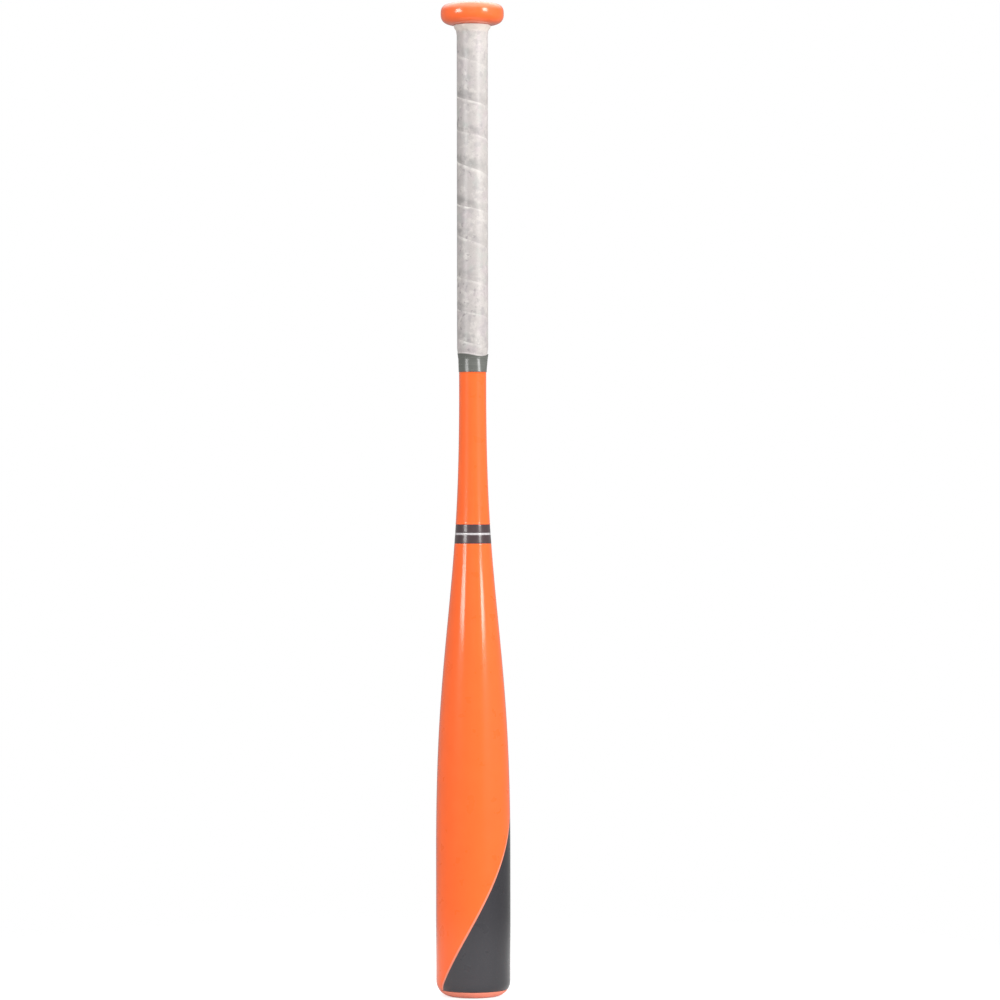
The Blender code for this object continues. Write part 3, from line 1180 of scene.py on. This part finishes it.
@dataclass
class WoundGrip(SubAssembly):
    """Strip of synthetic leather wound from the knob down, each turn lapped over the one above it.

    The turns are as uneven as a hand leaves them: turn_widths gives what shows of each at the left.
    """

    knob: Knob
    turn_widths: tuple[float, ...] = tuple(
        width * MM for width in (33.1, 32.7, 25.8, 23.8, 33.0, 23.1, 32.3, 25.3, 22.3, 26.5)
    )
    first_seam_drop: float = 4.4 * MM
    pitch: float = 26.5 * MM
    spare_turns: int = 2
    start_turn: float = 0.5
    steps_per_turn: int = 72
    section_spacing: float = 1.5 * MM
    front_slack: float = 1.2 * MM
    thickness: float = 1.08 * MM
    edge_rise: float = 0.08 * MM
    edge_thickness: float = 0.36 * MM
    edge_rounding: float = 0.34 * MM
    edge_fall: float = 7 * MM
    bevel_depth: float = 0.11 * MM
    bevel_width: float = 1.6 * MM
    bevel_rounding: float = 8 * MM
    fall_rounding: float = 30 * MM
    dip: float = 0.05 * MM
    dip_reach: float = 3 * MM
    dip_rounding: float = 8 * MM
    seam_rounding: float = 2 * MM
    lap: float = 4 * MM
    climb: float = 1.5 * MM
    clearance: float = 0.02 * MM
    tucked_thickness: float = 0.5 * MM
    thin_end: float = 2.5 * MM
    taped_reach: float = 7.5 * MM
    taped_shape: float = 0.9
    least_held: float = 0.05
    neck_blend: float = 1.5 * MM
    wear_size: float = 9 * MM
    wear_share: float = 0.85
    wear_contrast: float = 0.4
    flat_start: float = 698 * MM
    flat_stop: float = 712 * MM
    low_start: float = 570 * MM
    low_stop: float = 620 * MM
    low_wear: float = 0.7
    # Where the section is marked lighter along its exposed edge, as wear and painted highlight, and
    # darker towards the seam, as dirt and painted shade.
    rubbed_highlit_start: float = 0.8 * MM
    rubbed_highlit_stop: float = 2.6 * MM
    dirt_and_shade_start: float = 9 * MM
    dirt_and_shade_stop: float = 4 * MM
    dirt_and_shade_fade: float = 0.4
    fade_start: float = 3 * MM
    fade_stop: float = 1 * MM
    lip_rise: float = 0.24 * MM
    lip_half_height: float = 0.7 * MM
    lip_above_edge: float = 0.5 * MM
    # The lip takes the rubbed edge's lighter tone: wear and a painted highlight along the tape's edge.
    lip_highlight_mark: float = -0.4
    tape_edge: TapeEdge = field(default_factory=TapeEdge)
    finish: Finish = GripSkin("pale_grip_skin", srgb(189, 183, 179), 0.38)

    def __post_init__(self) -> None:
        """Take the grip's ends from its solid, and its seat from the tape under it."""
        low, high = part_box("grip_wrap")
        self.bottom = low.z + self.thin_end
        self.top = high.z
        self.inner = half_width("grip_backing_tape") + LAYER_GAP

    def section(self) -> Profile:
        """Section of the strip: down its outer side from the exposed edge, and up its inner side.

        Returns:
            The closed section's points, with the exposed edge at height 0.
        """
        face = self.inner + self.thickness
        crest = face + self.edge_rise
        under_edge = crest - self.edge_thickness
        tucked = self.inner + self.tucked_thickness
        tail = self.pitch + self.lap
        seat = self.inner + self.clearance
        corners = [
            Corner(under_edge, 0.0),
            Corner(crest - self.bevel_depth, 0.0, self.edge_rounding),
            Corner(crest, -self.bevel_width, self.bevel_rounding),
            Corner(face, -self.edge_fall, self.fall_rounding),
            Corner(face, self.dip_reach - self.pitch, self.dip_rounding),
            Corner(face - self.dip, -self.pitch, self.seam_rounding),
            Corner(tucked, -tail),
            Corner(seat, -tail),
            Corner(seat, -self.lap - self.climb),
            Corner(tucked + 2 * self.clearance, -self.lap),
            Corner(under_edge, 0.0),
        ]
        return dense(rounded(corners), self.section_spacing)[:-1]

    def seam_height(self, turns: float) -> float:
        """Height of the strip's exposed edge after some turns from the knob.

        Args:
            turns: Turns counted at the left side, whole and part.

        Returns:
            The height.
        """
        height = self.knob.top - self.first_seam_drop
        if turns < 0:
            return height - turns * self.pitch
        whole = min(int(turns), len(self.turn_widths))
        rest = turns - whole
        next_width = self.turn_widths[whole] if whole < len(self.turn_widths) else self.pitch
        return height - sum(self.turn_widths[:whole]) - rest * next_width

    def lift(self, height: float) -> float:
        """How far the knob's neck pushes the strip outwards at a height.

        Args:
            height: The height above the floor.

        Returns:
            The distance, which is 0 below the neck.
        """
        foot = self.knob.neck_bottom
        step = self.knob.neck_radius(max(height, foot)) + LAYER_GAP - self.inner
        return step * smooth_step(height, foot - self.neck_blend, foot)

    def spaced(self, place: Vector) -> Vector:
        """Height that a point of the even winding comes to, with the turns as uneven as they are.

        Args:
            place: The point on the even winding.

        Returns:
            The point at its height on the bat.
        """
        slack = self.front_slack * (1 + math.sin(bearing_of(place)))
        return Vector((place.x, place.y, self.seam_height(-place.z / self.pitch) + slack))

    def held(self, height: float) -> float:
        """Share of the strip's thickness that the finishing tape leaves at a height."""
        along = (height - self.bottom) / self.taped_reach
        return min(max(along, self.least_held), 1.0) ** self.taped_shape

    def pressed(self, place: Vector) -> Vector:
        """Radius that a point of the strip comes to on the knob's neck and under the tape.

        Args:
            place: The point at its height on the bat.

        Returns:
            The point on the bat.
        """
        radius = math.hypot(place.x, place.y)
        raised = max(radius - self.inner - self.thickness, 0.0)
        patch = noise.noise(place / self.wear_size)
        worn = max(
            self.wear_share * smooth_step(patch, -self.wear_contrast, self.wear_contrast),
            smooth_step(place.z, self.flat_start, self.flat_stop),
            self.low_wear * smooth_step(place.z, self.low_stop, self.low_start),
        )
        thick = (radius - raised * worn - self.inner) * self.held(place.z)
        return carried(place, self.inner + thick + self.lift(place.z), place.z)

    def along_edge(self, place: Vector) -> Vector:
        """Place that a point of the lip's level ring comes to along the tape's dipped edge.

        Args:
            place: The point on the level ring.

        Returns:
            The point on the bat.
        """
        edge = self.tape_edge
        dip = edge.dip(bearing_of(place))
        sink = self.thickness * (self.held(edge.top - dip) - self.held(edge.top))
        return carried(place, math.hypot(place.x, place.y) + sink, place.z - dip)

    def add_lip(self, grip: Piece) -> None:
        """Join to the grip the soft lip that the tape squeezes up along its edge.

        Args:
            grip: The wound strip, in its place.
        """
        top = self.tape_edge.top
        middle = top + self.lip_above_edge
        face = self.inner + self.thickness * self.held(top)
        ring: Profile = []
        for step in range(ARC_STEPS):
            turn = math.tau * step / ARC_STEPS
            height = middle + self.lip_half_height * math.sin(turn)
            ring.append((face + self.lip_rise * math.cos(turn), height))
        lip = Bench.turned("grip_lip", ring)
        # Marked like a rubbed edge: lighter, as wear and a painted highlight.
        marks = lip.data.attributes.new(GripSkin.seam_attribute, "FLOAT", "POINT")
        for mark in marks.data:
            mark.value = self.lip_highlight_mark
        Bench.reshape(lip, self.along_edge)
        bpy.ops.object.select_all(action="DESELECT")
        lip.select_set(True)
        grip.select_set(True)
        bpy.context.view_layer.objects.active = grip
        bpy.ops.object.join()

    def mark_seams(self, piece: Piece) -> None:
        """Note on the section where seams gather dirt and painted shade (1), and where the edge is
        rubbed and gets a painted highlight (-1).

        Args:
            piece: The section, before it is wound.
        """
        marks = piece.data.attributes.new(GripSkin.seam_attribute, "FLOAT", "POINT")
        for vertex, mark in zip(piece.data.vertices, marks.data):
            down = -vertex.co.z
            to_seam = self.pitch - down
            # Lighter near the exposed edge (wear and painted highlight), darker towards the seam (dirt
            # and painted shade).
            rubbed_and_highlit = 1 - smooth_step(down, self.rubbed_highlit_start, self.rubbed_highlit_stop)
            dirt_and_shade = smooth_step(to_seam, self.dirt_and_shade_start, self.dirt_and_shade_stop)
            dirt_and_shade -= self.dirt_and_shade_fade * smooth_step(to_seam, self.fade_start, self.fade_stop)
            mark.value = dirt_and_shade - rubbed_and_highlit

    def build(self) -> Piece:
        """Wind the strip, settle it on the handle and cut it level at both ends.

        Returns:
            The grip.
        """
        piece = Bench.seed("wound_grip")
        Bench.draw(self.section())
        bpy.ops.object.mode_set(mode="OBJECT")
        self.mark_seams(piece)
        early = Vector((0.0, 0.0, (self.spare_turns - self.start_turn) * self.pitch))
        Bench.reshape(piece, lambda place: place + early)
        winding = piece.modifiers.new("Winding", "SCREW")
        winding.angle = math.tau
        winding.screw_offset = -self.pitch
        winding.iterations = len(self.turn_widths) + 2 * self.spare_turns
        winding.steps = self.steps_per_turn
        winding.render_steps = self.steps_per_turn
        winding.use_merge_vertices = False
        bpy.ops.object.modifier_apply(modifier=winding.name)
        Bench.reshape(piece, self.spaced)
        bpy.ops.object.mode_set(mode="EDIT")
        self.cut_level(self.top, keep_below=True)
        self.cut_level(self.bottom, keep_below=False)
        Bench.weld()
        Bench.face_outwards(piece)
        Bench.smooth()
        Bench.reshape(piece, self.pressed)
        self.add_lip(piece)
        return self.seat(piece, "grip_wrap", Slot.GRIP, self.finish)

    @staticmethod
    def cut_level(height: float, keep_below: bool) -> None:
        """Cut the strip level at a height, and close the cut.

        Args:
            height: Height of the cut.
            keep_below: Whether the part below the cut stays, or the part above it.
        """
        bpy.ops.mesh.select_all(action="SELECT")
        bpy.ops.mesh.bisect(
            plane_co=(0.0, 0.0, height),
            plane_no=(0.0, 0.0, 1.0),
            clear_outer=keep_below,
            clear_inner=not keep_below,
            threshold=CUT_DISTANCE,
        )
        Bench.close_crescent(bpy.context.object)


@dataclass
class FinishingTape(SubAssembly):
    """Vinyl tape wound over the grip's lower end and onto the bare handle, thicker lower down."""

    grip: WoundGrip
    thickness: float = 0.16 * MM
    waist_drop: float = 0.8 * MM
    flare: float = 0.5 * MM
    flare_lean: float = 1.1
    side_fall: float = 0.29 * MM
    side_swell: float = 0.5 * MM
    swell_start: float = 0.6
    tight_start: float = 0.8
    edge_rounding: float = 0.06 * MM
    rings: int = 6
    cut_bearing: float = math.radians(140)
    cut_step: float = 0.06 * MM
    dip_reach: float = 4 * MM
    step_start: float = 1 * MM
    step_stop: float = 0.2 * MM
    finish: Finish = StretchedVinyl("grey_vinyl_tape", srgb(99, 101, 96), 0.25)

    def __post_init__(self) -> None:
        """Take the tape's ends from its solid, and its waist from the grip's thin end."""
        self.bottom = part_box("grip_end_tape")[0].z
        self.top = self.grip.tape_edge.top
        self.waist = self.grip.bottom - self.waist_drop
        self.backing_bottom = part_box("grip_backing_tape")[0].z

    def outside(self, height: float) -> float:
        """Outside radius of the even tape at a height.

        Args:
            height: The height above the floor.

        Returns:
            The radius.
        """
        grip = self.grip
        waist = grip.inner + self.thickness
        if height <= self.waist:
            return waist + self.flare * (self.waist - height) / (self.waist - self.bottom)
        on_grip = grip.inner + grip.thickness * grip.held(height) + LAYER_GAP + self.thickness
        return waist + (on_grip - waist) * smooth_step(height, self.waist, grip.bottom)

    def inside(self, height: float) -> float:
        """Inside radius of the even tape at a height: on the grip, the backing tape or the handle.

        Args:
            height: The height above the floor.

        Returns:
            The radius.
        """
        if height >= self.waist:
            return self.outside(height) - self.thickness
        bare = self.outline.tube(height) + LAYER_GAP
        edge = self.backing_bottom
        on_backing = smooth_step(height, edge - self.step_start, edge - self.step_stop)
        return bare + (self.grip.inner - bare) * on_backing

    def heights(self) -> list[float]:
        """Heights of the tape's rings, from its upper edge down to its lower one.

        Returns:
            The heights.
        """
        stops = [self.top, self.grip.bottom, self.waist, self.bottom]
        rings = [self.top]
        for high, low in zip(stops, stops[1:]):
            rings += [high + (low - high) * step / self.rings for step in range(1, self.rings + 1)]
        return rings

    def drawn(self, place: Vector) -> Vector:
        """Move a point of the even ring to the wound tape, with its dipped edge and cut end.

        Args:
            place: The point on the even ring.

        Returns:
            The point on the wound tape.
        """
        bearing = bearing_of(place)
        radius = math.hypot(place.x, place.y)
        wound = ((bearing - self.cut_bearing) % math.tau) / math.tau
        dip = self.grip.tape_edge.dip(bearing)
        sunk = place.z - dip * smooth_step(place.z, self.top - self.dip_reach, self.top)
        settle = self.outside(sunk) - self.outside(place.z)
        below = min(max((self.waist - place.z) / (self.waist - self.bottom), 0.0), 1.0)
        lean = self.flare * self.flare_lean * math.sin(bearing) * below
        off_front = 1 - smooth_step(math.cos(bearing), 0.0, self.tight_start)
        tight = off_front * ((self.flare + self.side_fall) * below + lean)
        swollen = self.side_swell * smooth_step(math.sin(bearing), self.swell_start, 1.0)
        swollen *= smooth_step(place.z, self.bottom, self.grip.bottom)
        drawn = radius + self.cut_step * wound + settle + swollen + lean - tight
        drawn = max(drawn, self.outline.tube(sunk) + LAYER_GAP / 2)
        return carried(place, drawn, sunk)

    def build(self) -> Piece:
        """Turn the tape as an even ring, then draw it into shape.

        Returns:
            The tape.
        """
        heights = self.heights()
        inside = [Corner(self.inside(z), z) for z in heights]
        outside = [Corner(self.outside(z), z, self.edge_rounding) for z in heights]
        piece = Bench.turned("finishing_tape", rounded([*inside[::-1], *outside]))
        Bench.reshape(piece, self.drawn)
        return self.seat(piece, "grip_end_tape", Slot.TAPE, self.finish)


@dataclass
class FlexJoint(SubAssembly):
    """Elastomer collar between the two tubes, with its sleeve and the white ring let into it."""

    edge_rounding: float = 0.2 * MM
    ring_step: float = 0.8 * MM
    top_inset: float = 0.1 * MM
    ring_lip: float = 0.2 * MM
    ring_gap: float = 0.04 * MM
    edge_gap: float = 0.05 * MM
    stripe_depth: float = 0.8 * MM
    stripe_crown: float = 0.04 * MM
    crown_rounding: float = 2 * MM
    collar_finish: Finish = Elastomer("charcoal_elastomer", srgb(67, 50, 53), 0.34, coat=0.75)
    stripe_finish: Finish = Elastomer("white_ring", srgb(196, 191, 193), 0.36, coat=1.0)

    def build(self) -> list[Piece]:
        """Turn the collar and its white ring."""
        return [self.build_collar(), self.build_stripe()]

    def skin(self, height: float) -> float:
        """Radius of the joint's skin, which is drawn in a little towards its upper edge."""
        low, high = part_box("barrel_shell")[1].z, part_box("flex_collar")[1].z
        return self.outline.tube(height) - self.top_inset * (height - low) / (high - low)

    def build_collar(self) -> Piece:
        """Turn the collar with the groove for the white ring.

        Returns:
            The collar.
        """
        low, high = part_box("flex_collar")
        groove_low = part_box("collar_stripe")[0].z + self.ring_lip - self.ring_gap
        groove_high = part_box("collar_stripe")[1].z - self.ring_lip + self.ring_gap
        barrel_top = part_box("barrel_shell")[1].z
        top = high.z + BOND_GAP - self.edge_gap
        foot = barrel_top + self.edge_gap
        depth = self.stripe_depth + BOND_GAP
        inner = half_width("handle_stopper") + BOND_GAP
        skin = self.skin
        soft = self.edge_rounding
        exposed = rounded([
            Corner(inner, top),
            Corner(skin(top), top, soft),
            Corner(skin(groove_high), groove_high, soft),
            Corner(skin(groove_high) - depth, groove_high),
            Corner(skin(groove_low) - depth, groove_low),
            Corner(skin(groove_low), groove_low, soft),
            Corner(skin(foot), foot, soft),
            Corner(self.outline.throat(barrel_top) - BOND_GAP, foot),
        ])
        sleeve = self.outline.followed(self.outline.throat, barrel_top, low.z, -BOND_GAP)
        piece = Bench.turned("joint_collar", [*dense(exposed, self.ring_step), *sleeve, (inner, low.z)])
        return self.seat(piece, "flex_collar", Slot.ELASTOMER, self.collar_finish)

    def build_stripe(self) -> Piece:
        """Turn the white ring, with a faint crown.

        Returns:
            The ring.
        """
        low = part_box("collar_stripe")[0].z + self.ring_lip
        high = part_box("collar_stripe")[1].z - self.ring_lip
        skin = self.skin
        middle = (low + high) / 2
        ring = rounded([
            Corner(skin(high) - self.stripe_depth, high),
            Corner(skin(high), high, self.edge_rounding),
            Corner(skin(middle) + self.stripe_crown, middle, self.crown_rounding),
            Corner(skin(low), low, self.edge_rounding),
            Corner(skin(low) - self.stripe_depth, low),
        ])
        piece = Bench.turned("white_joint_ring", ring)
        return self.seat(piece, "collar_stripe", Slot.STRIPE, self.stripe_finish)


@dataclass
class Barrel(SubAssembly):
    """Painted hollow barrel with its taper, throat and the groove that the end cap snaps into."""

    edge_rounding: float = 0.3 * MM
    groove_height: float = 3.6 * MM
    groove_depth: float = 0.8 * MM
    finish: Finish = BlockPaint("orange_and_charcoal_paint", srgb(254, 105, 40), 0.32)

    def build(self) -> Piece:
        """Turn the barrel.

        Returns:
            The barrel.
        """
        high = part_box("barrel_shell")[1]
        low = EndCap.flange + BOND_GAP
        outline = self.outline
        bore = outline.bore()
        middle = EndCap.bead_middle
        half = self.groove_height / 2
        outside = outline.followed(outline.surface, high.z - EDGE_REACH, low + EDGE_REACH)
        top_edge = rounded([
            Corner(outline.throat(high.z), high.z),
            Corner(outline.tube(high.z), high.z, self.edge_rounding),
            Corner(*outside[0]),
        ])
        low_edge = rounded([
            Corner(*outside[-1]),
            Corner(outline.surface(low), low, self.edge_rounding),
            Corner(bore, low),
        ])
        groove = [
            (bore, middle - half),
            (bore + self.groove_depth, middle - half + self.groove_depth),
            (bore + self.groove_depth, middle + half - self.groove_depth),
            (bore, middle + half),
        ]
        throat = outline.followed(outline.throat, high.z, outline.taper_bottom)[:0:-1]
        profile = [*top_edge, *outside[1:-1], *low_edge, *groove, *throat]
        piece = Bench.turned("painted_barrel", profile)
        return self.seat(piece, "barrel_shell", Slot.ORANGE_PAINT, self.finish)


@dataclass
class EndCap(SubAssembly):
    """Moulded end cap: rounded rim, stepped face, and a ribbed cup that snaps into the barrel."""

    flange: float = 5.3 * MM
    rim_width: float = 4.5 * MM
    recess: float = 1.2 * MM
    floor: float = 3.5 * MM
    skirt_wall: float = 2.5 * MM
    lead_in: float = 0.8 * MM
    bead_middle: float = 14.5 * MM
    bead_height: float = 3 * MM
    bead_depth: float = 0.8 * MM
    boss_radius: float = 4 * MM
    boss_rise: float = 8.8 * MM
    rib_count: int = 6
    rib_turn: float = 0.25
    rib_thickness: float = 1.6 * MM
    rib_height: float = 8 * MM
    step_radius: float = 7 * MM
    step_rise: float = 0.5 * MM
    dimple_radius: float = 1.6 * MM
    dimple_depth: float = 0.4 * MM
    edge_rounding: float = 0.35 * MM
    finish: Finish = MouldedUrethane("cap_urethane", srgb(243, 144, 119), 0.42, skin_gloss=0.4)

    def cup_side(self) -> Profile:
        """Outline of the cup, from its boss over its wall and down to the flange.

        Returns:
            The outline's points.
        """
        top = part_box("end_cap")[1].z
        skirt = self.outline.bore() - BOND_GAP
        cup = skirt - self.skirt_wall
        floor_top = self.recess + self.floor
        half = self.bead_height / 2
        return [
            (0.0, floor_top + self.boss_rise),
            (self.boss_radius, floor_top + self.boss_rise),
            (self.boss_radius, floor_top),
            (cup, floor_top),
            (cup, top),
            (skirt - self.lead_in, top),
            (skirt, top - self.lead_in),
            (skirt, self.bead_middle + half),
            (skirt + self.bead_depth, self.bead_middle + half - self.bead_depth),
            (skirt + self.bead_depth, self.bead_middle - half + self.bead_depth),
            (skirt, self.bead_middle - half),
        ]

    def face_side(self) -> Profile:
        """Outline of the cap's face, from the flange round the rim and in to the dimple.

        Returns:
            The outline's points.
        """
        outline = self.outline
        skirt = outline.bore() - BOND_GAP
        rim = outline.surface(0.0)
        face = rim - self.rim_width
        soft = self.edge_rounding
        side = outline.followed(outline.surface, self.flange - EDGE_REACH, 0.0)
        shoulder = rounded([
            Corner(skirt, self.flange),
            Corner(outline.surface(self.flange), self.flange, soft),
            Corner(*side[0]),
        ])
        step = self.recess - self.step_rise
        stepped = rounded([
            Corner(*side[-1]),
            Corner(face, 0.0, soft),
            Corner(face - self.recess, self.recess, soft),
            Corner(self.step_radius + self.step_rise, self.recess, soft),
            Corner(self.step_radius, step, soft),
            Corner(self.dimple_radius + self.dimple_depth, step, soft),
            Corner(self.dimple_radius, step + self.dimple_depth, soft),
            Corner(0.0, step + self.dimple_depth),
        ])
        return [*shoulder, *side[1:-1], *stepped]

    def add_ribs(self, cap: Piece) -> None:
        """Join the cup's ribs into the cap, as bars that each make two opposite ribs.

        Args:
            cap: The turned cap.
        """
        floor_top = self.recess + self.floor
        sunk = self.floor / 2
        reach = self.outline.bore() - self.skirt_wall / 2
        tall = self.rib_height + sunk
        for index in range(self.rib_count // 2):
            bpy.ops.object.select_all(action="DESELECT")
            bpy.ops.mesh.primitive_cube_add(size=1.0, location=(0.0, 0.0, floor_top - sunk + tall / 2))
            bar = bpy.context.object
            bar.scale = (2 * reach, self.rib_thickness, tall)
            bar.rotation_euler.z = math.tau * (index + self.rib_turn) / self.rib_count
            bpy.ops.object.transform_apply(location=True, rotation=True, scale=True)
            bpy.ops.object.select_all(action="DESELECT")
            bpy.context.view_layer.objects.active = cap
            cap.select_set(True)
            union = cap.modifiers.new("Rib", "BOOLEAN")
            union.operation = "UNION"
            union.object = bar
            bpy.ops.object.modifier_apply(modifier=union.name)
            bpy.data.objects.remove(bar)

    def build(self) -> Piece:
        """Turn the cap and join its ribs.

        Returns:
            The end cap.
        """
        piece = Bench.turned("moulded_end_cap", [*self.cup_side(), *self.face_side()])
        self.add_ribs(piece)
        Bench.smooth()
        return self.seat(piece, "end_cap", Slot.CAP, self.finish)


@dataclass
class HiddenPieces:
    """Stoppers and backing tape, whose solids are right as they are and only need a finish."""

    stopper_finish: Finish = Elastomer("black_stopper_rubber", srgb(40, 40, 42), 0.6)
    backing_finish: Finish = WovenBacking("backing_weave", srgb(200, 190, 165), 0.75)

    def dress(self) -> None:
        """Give each hidden solid its finish."""
        finishes = {
            "handle_end_plug": self.stopper_finish,
            "handle_stopper": self.stopper_finish,
            "grip_backing_tape": self.backing_finish,
        }
        for name, finish in finishes.items():
            finish.cover(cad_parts[name])
            LOG.info("%s keeps its solid", name)


@dataclass(frozen=True)
class Softbox:
    """A rectangular soft light that faces the bat's axis, upright or tipped down towards it."""

    name: str
    bearing: float
    distance: float
    height: float
    width: float
    tall: float
    radiance: float
    tip: float = 0.0
    in_gloss: bool = True

    def hang(self) -> None:
        """Add the lamp. Its power follows from its area and how bright its face is."""
        turn = math.radians(self.bearing)
        place = (self.distance * math.sin(turn), -self.distance * math.cos(turn), self.height)
        pitch = math.radians(90 - self.tip)
        bpy.ops.object.light_add(type="AREA", location=place, rotation=(pitch, 0.0, turn))
        lamp = bpy.context.object
        lamp.name = self.name
        lamp.data.shape = "RECTANGLE"
        lamp.data.size = self.width
        lamp.data.size_y = self.tall
        lamp.data.energy = self.radiance * math.pi * self.width * self.tall
        lamp.visible_camera = False
        lamp.visible_glossy = self.in_gloss


@dataclass
class Studio:
    """White studio: a camera level with the bat's middle, soft lights, a pale floor and a world."""

    camera_distance: float = 3.074
    camera_height: float = 0.3809
    focal_length: float = 144.0
    sideways_shift: float = 0.0272
    roll: float = math.radians(-0.07)
    floor_radius: float = 0.6
    floor_clear: float = 0.3
    floor_drop: float = 0.1 * MM
    floor_colour: Colour = (0.75, 0.75, 0.75)
    floor_glow: float = 0.65
    floor_roughness: float = 0.9
    ambient: float = 0.6
    room_gloss: float = 0.32
    ceiling_gloss: float = 4.0
    ceiling_start: float = 0.2
    ceiling_stop: float = 0.85
    softboxes: tuple[Softbox, ...] = (
        Softbox("left_softbox", -51.0, 3.0, 1.092, 1.1, 0.75, 11.0),
        Softbox("right_softbox", 48.0, 8.0, 2.485, 2.1, 2.08, 14.7),
        Softbox("right_reflector", 66.0, 2.4, 1.2, 2.8, 2.4, 2.4, in_gloss=False),
        Softbox("front_softbox", 0.0, 2.2, 1.5, 1.1, 1.8, 2.3, tip=25.0, in_gloss=False),
    )

    def build(self) -> None:
        """Set up the camera, the lights, the floor and the world."""
        bpy.context.scene.view_settings.view_transform = "Standard"
        self.add_camera()
        for softbox in self.softboxes:
            softbox.hang()
        self.add_floor()
        self.add_world()

    def add_camera(self) -> None:
        """Put the camera where the picture was taken from, with the bat left of its middle."""
        place = (0.0, -self.camera_distance, self.camera_height)
        bpy.ops.object.camera_add(location=place, rotation=(math.pi / 2, -self.roll, 0.0))
        camera = bpy.context.object
        camera.data.lens = self.focal_length
        camera.data.shift_x = self.sideways_shift
        bpy.context.scene.camera = camera

    def add_floor(self) -> None:
        """Lay a pale floor that keeps the bat's shadow and fades out into the white."""
        bpy.ops.object.select_all(action="DESELECT")
        bpy.ops.mesh.primitive_circle_add(
            vertices=TURN_STEPS,
            radius=self.floor_radius,
            fill_type="NGON",
            location=(0.0, 0.0, -self.floor_drop),
        )
        floor = bpy.context.object
        floor.name = "floor"
        shader = Shader("pale_floor")
        shader.set(
            Base_Color=self.floor_colour,
            Roughness=self.floor_roughness,
            Specular_IOR_Level=0.0,
        )
        strength = shader.product(shader.seen(), self.floor_glow)
        glow = shader.fill(shader.add("ShaderNodeEmission"), Strength=strength)["Emission"]
        pale = shader.surface.outputs["BSDF"]
        lit = shader.fill(shader.add("ShaderNodeAddShader"), pale, glow)["Shader"]
        clear = shader.add("ShaderNodeBsdfTransparent").outputs["BSDF"]
        length = shader.add("ShaderNodeVectorMath", operation="LENGTH")
        from_axis = shader.fill(length, shader.place)["Value"]
        clear_start = self.floor_clear * self.floor_radius
        fade = shader.ramp(from_axis, clear_start, self.floor_radius)
        blend = shader.fill(shader.add("ShaderNodeMixShader"), fade, lit, clear)["Shader"]
        shader.fill(shader.tree.nodes["Material Output"], Surface=blend)
        floor.data.materials.append(shader.material)

    def add_world(self) -> None:
        """Light the bat evenly from all round, show white behind it, and a dimmer room in its gloss."""
        world = bpy.data.worlds.new("white_studio")
        world.use_nodes = True
        bpy.context.scene.world = world
        nodes = Nodes(world.node_tree)
        gloss = nodes.ramp(
            nodes.part("Z", nodes.add("ShaderNodeTexCoord").outputs["Generated"]),
            self.ceiling_start,
            self.ceiling_stop,
            self.room_gloss,
            self.ceiling_gloss,
        )
        glossy = nodes.add("ShaderNodeLightPath").outputs["Is Glossy Ray"]
        room = nodes.ramp(glossy, 0.0, 1.0, self.ambient, gloss)
        strength = nodes.math("MAXIMUM", nodes.seen(), room)
        nodes.fill(nodes.tree.nodes["Background"], Color=(1.0, 1.0, 1.0), Strength=strength)


def main() -> None:
    """Build the bat from the knob down to the end cap, and then the studio."""
    logging.basicConfig(level=logging.INFO, format="%(name)s: %(message)s")
    outline = BatOutline()
    knob = Knob(outline)
    knob.build()
    HandleTube(outline).build()
    grip = WoundGrip(outline, knob)
    grip.build()
    FinishingTape(outline, grip).build()
    FlexJoint(outline).build()
    Barrel(outline).build()
    EndCap(outline).build()
    HiddenPieces().dress()
    Studio().build()


if __name__ == "__main__":
    main()
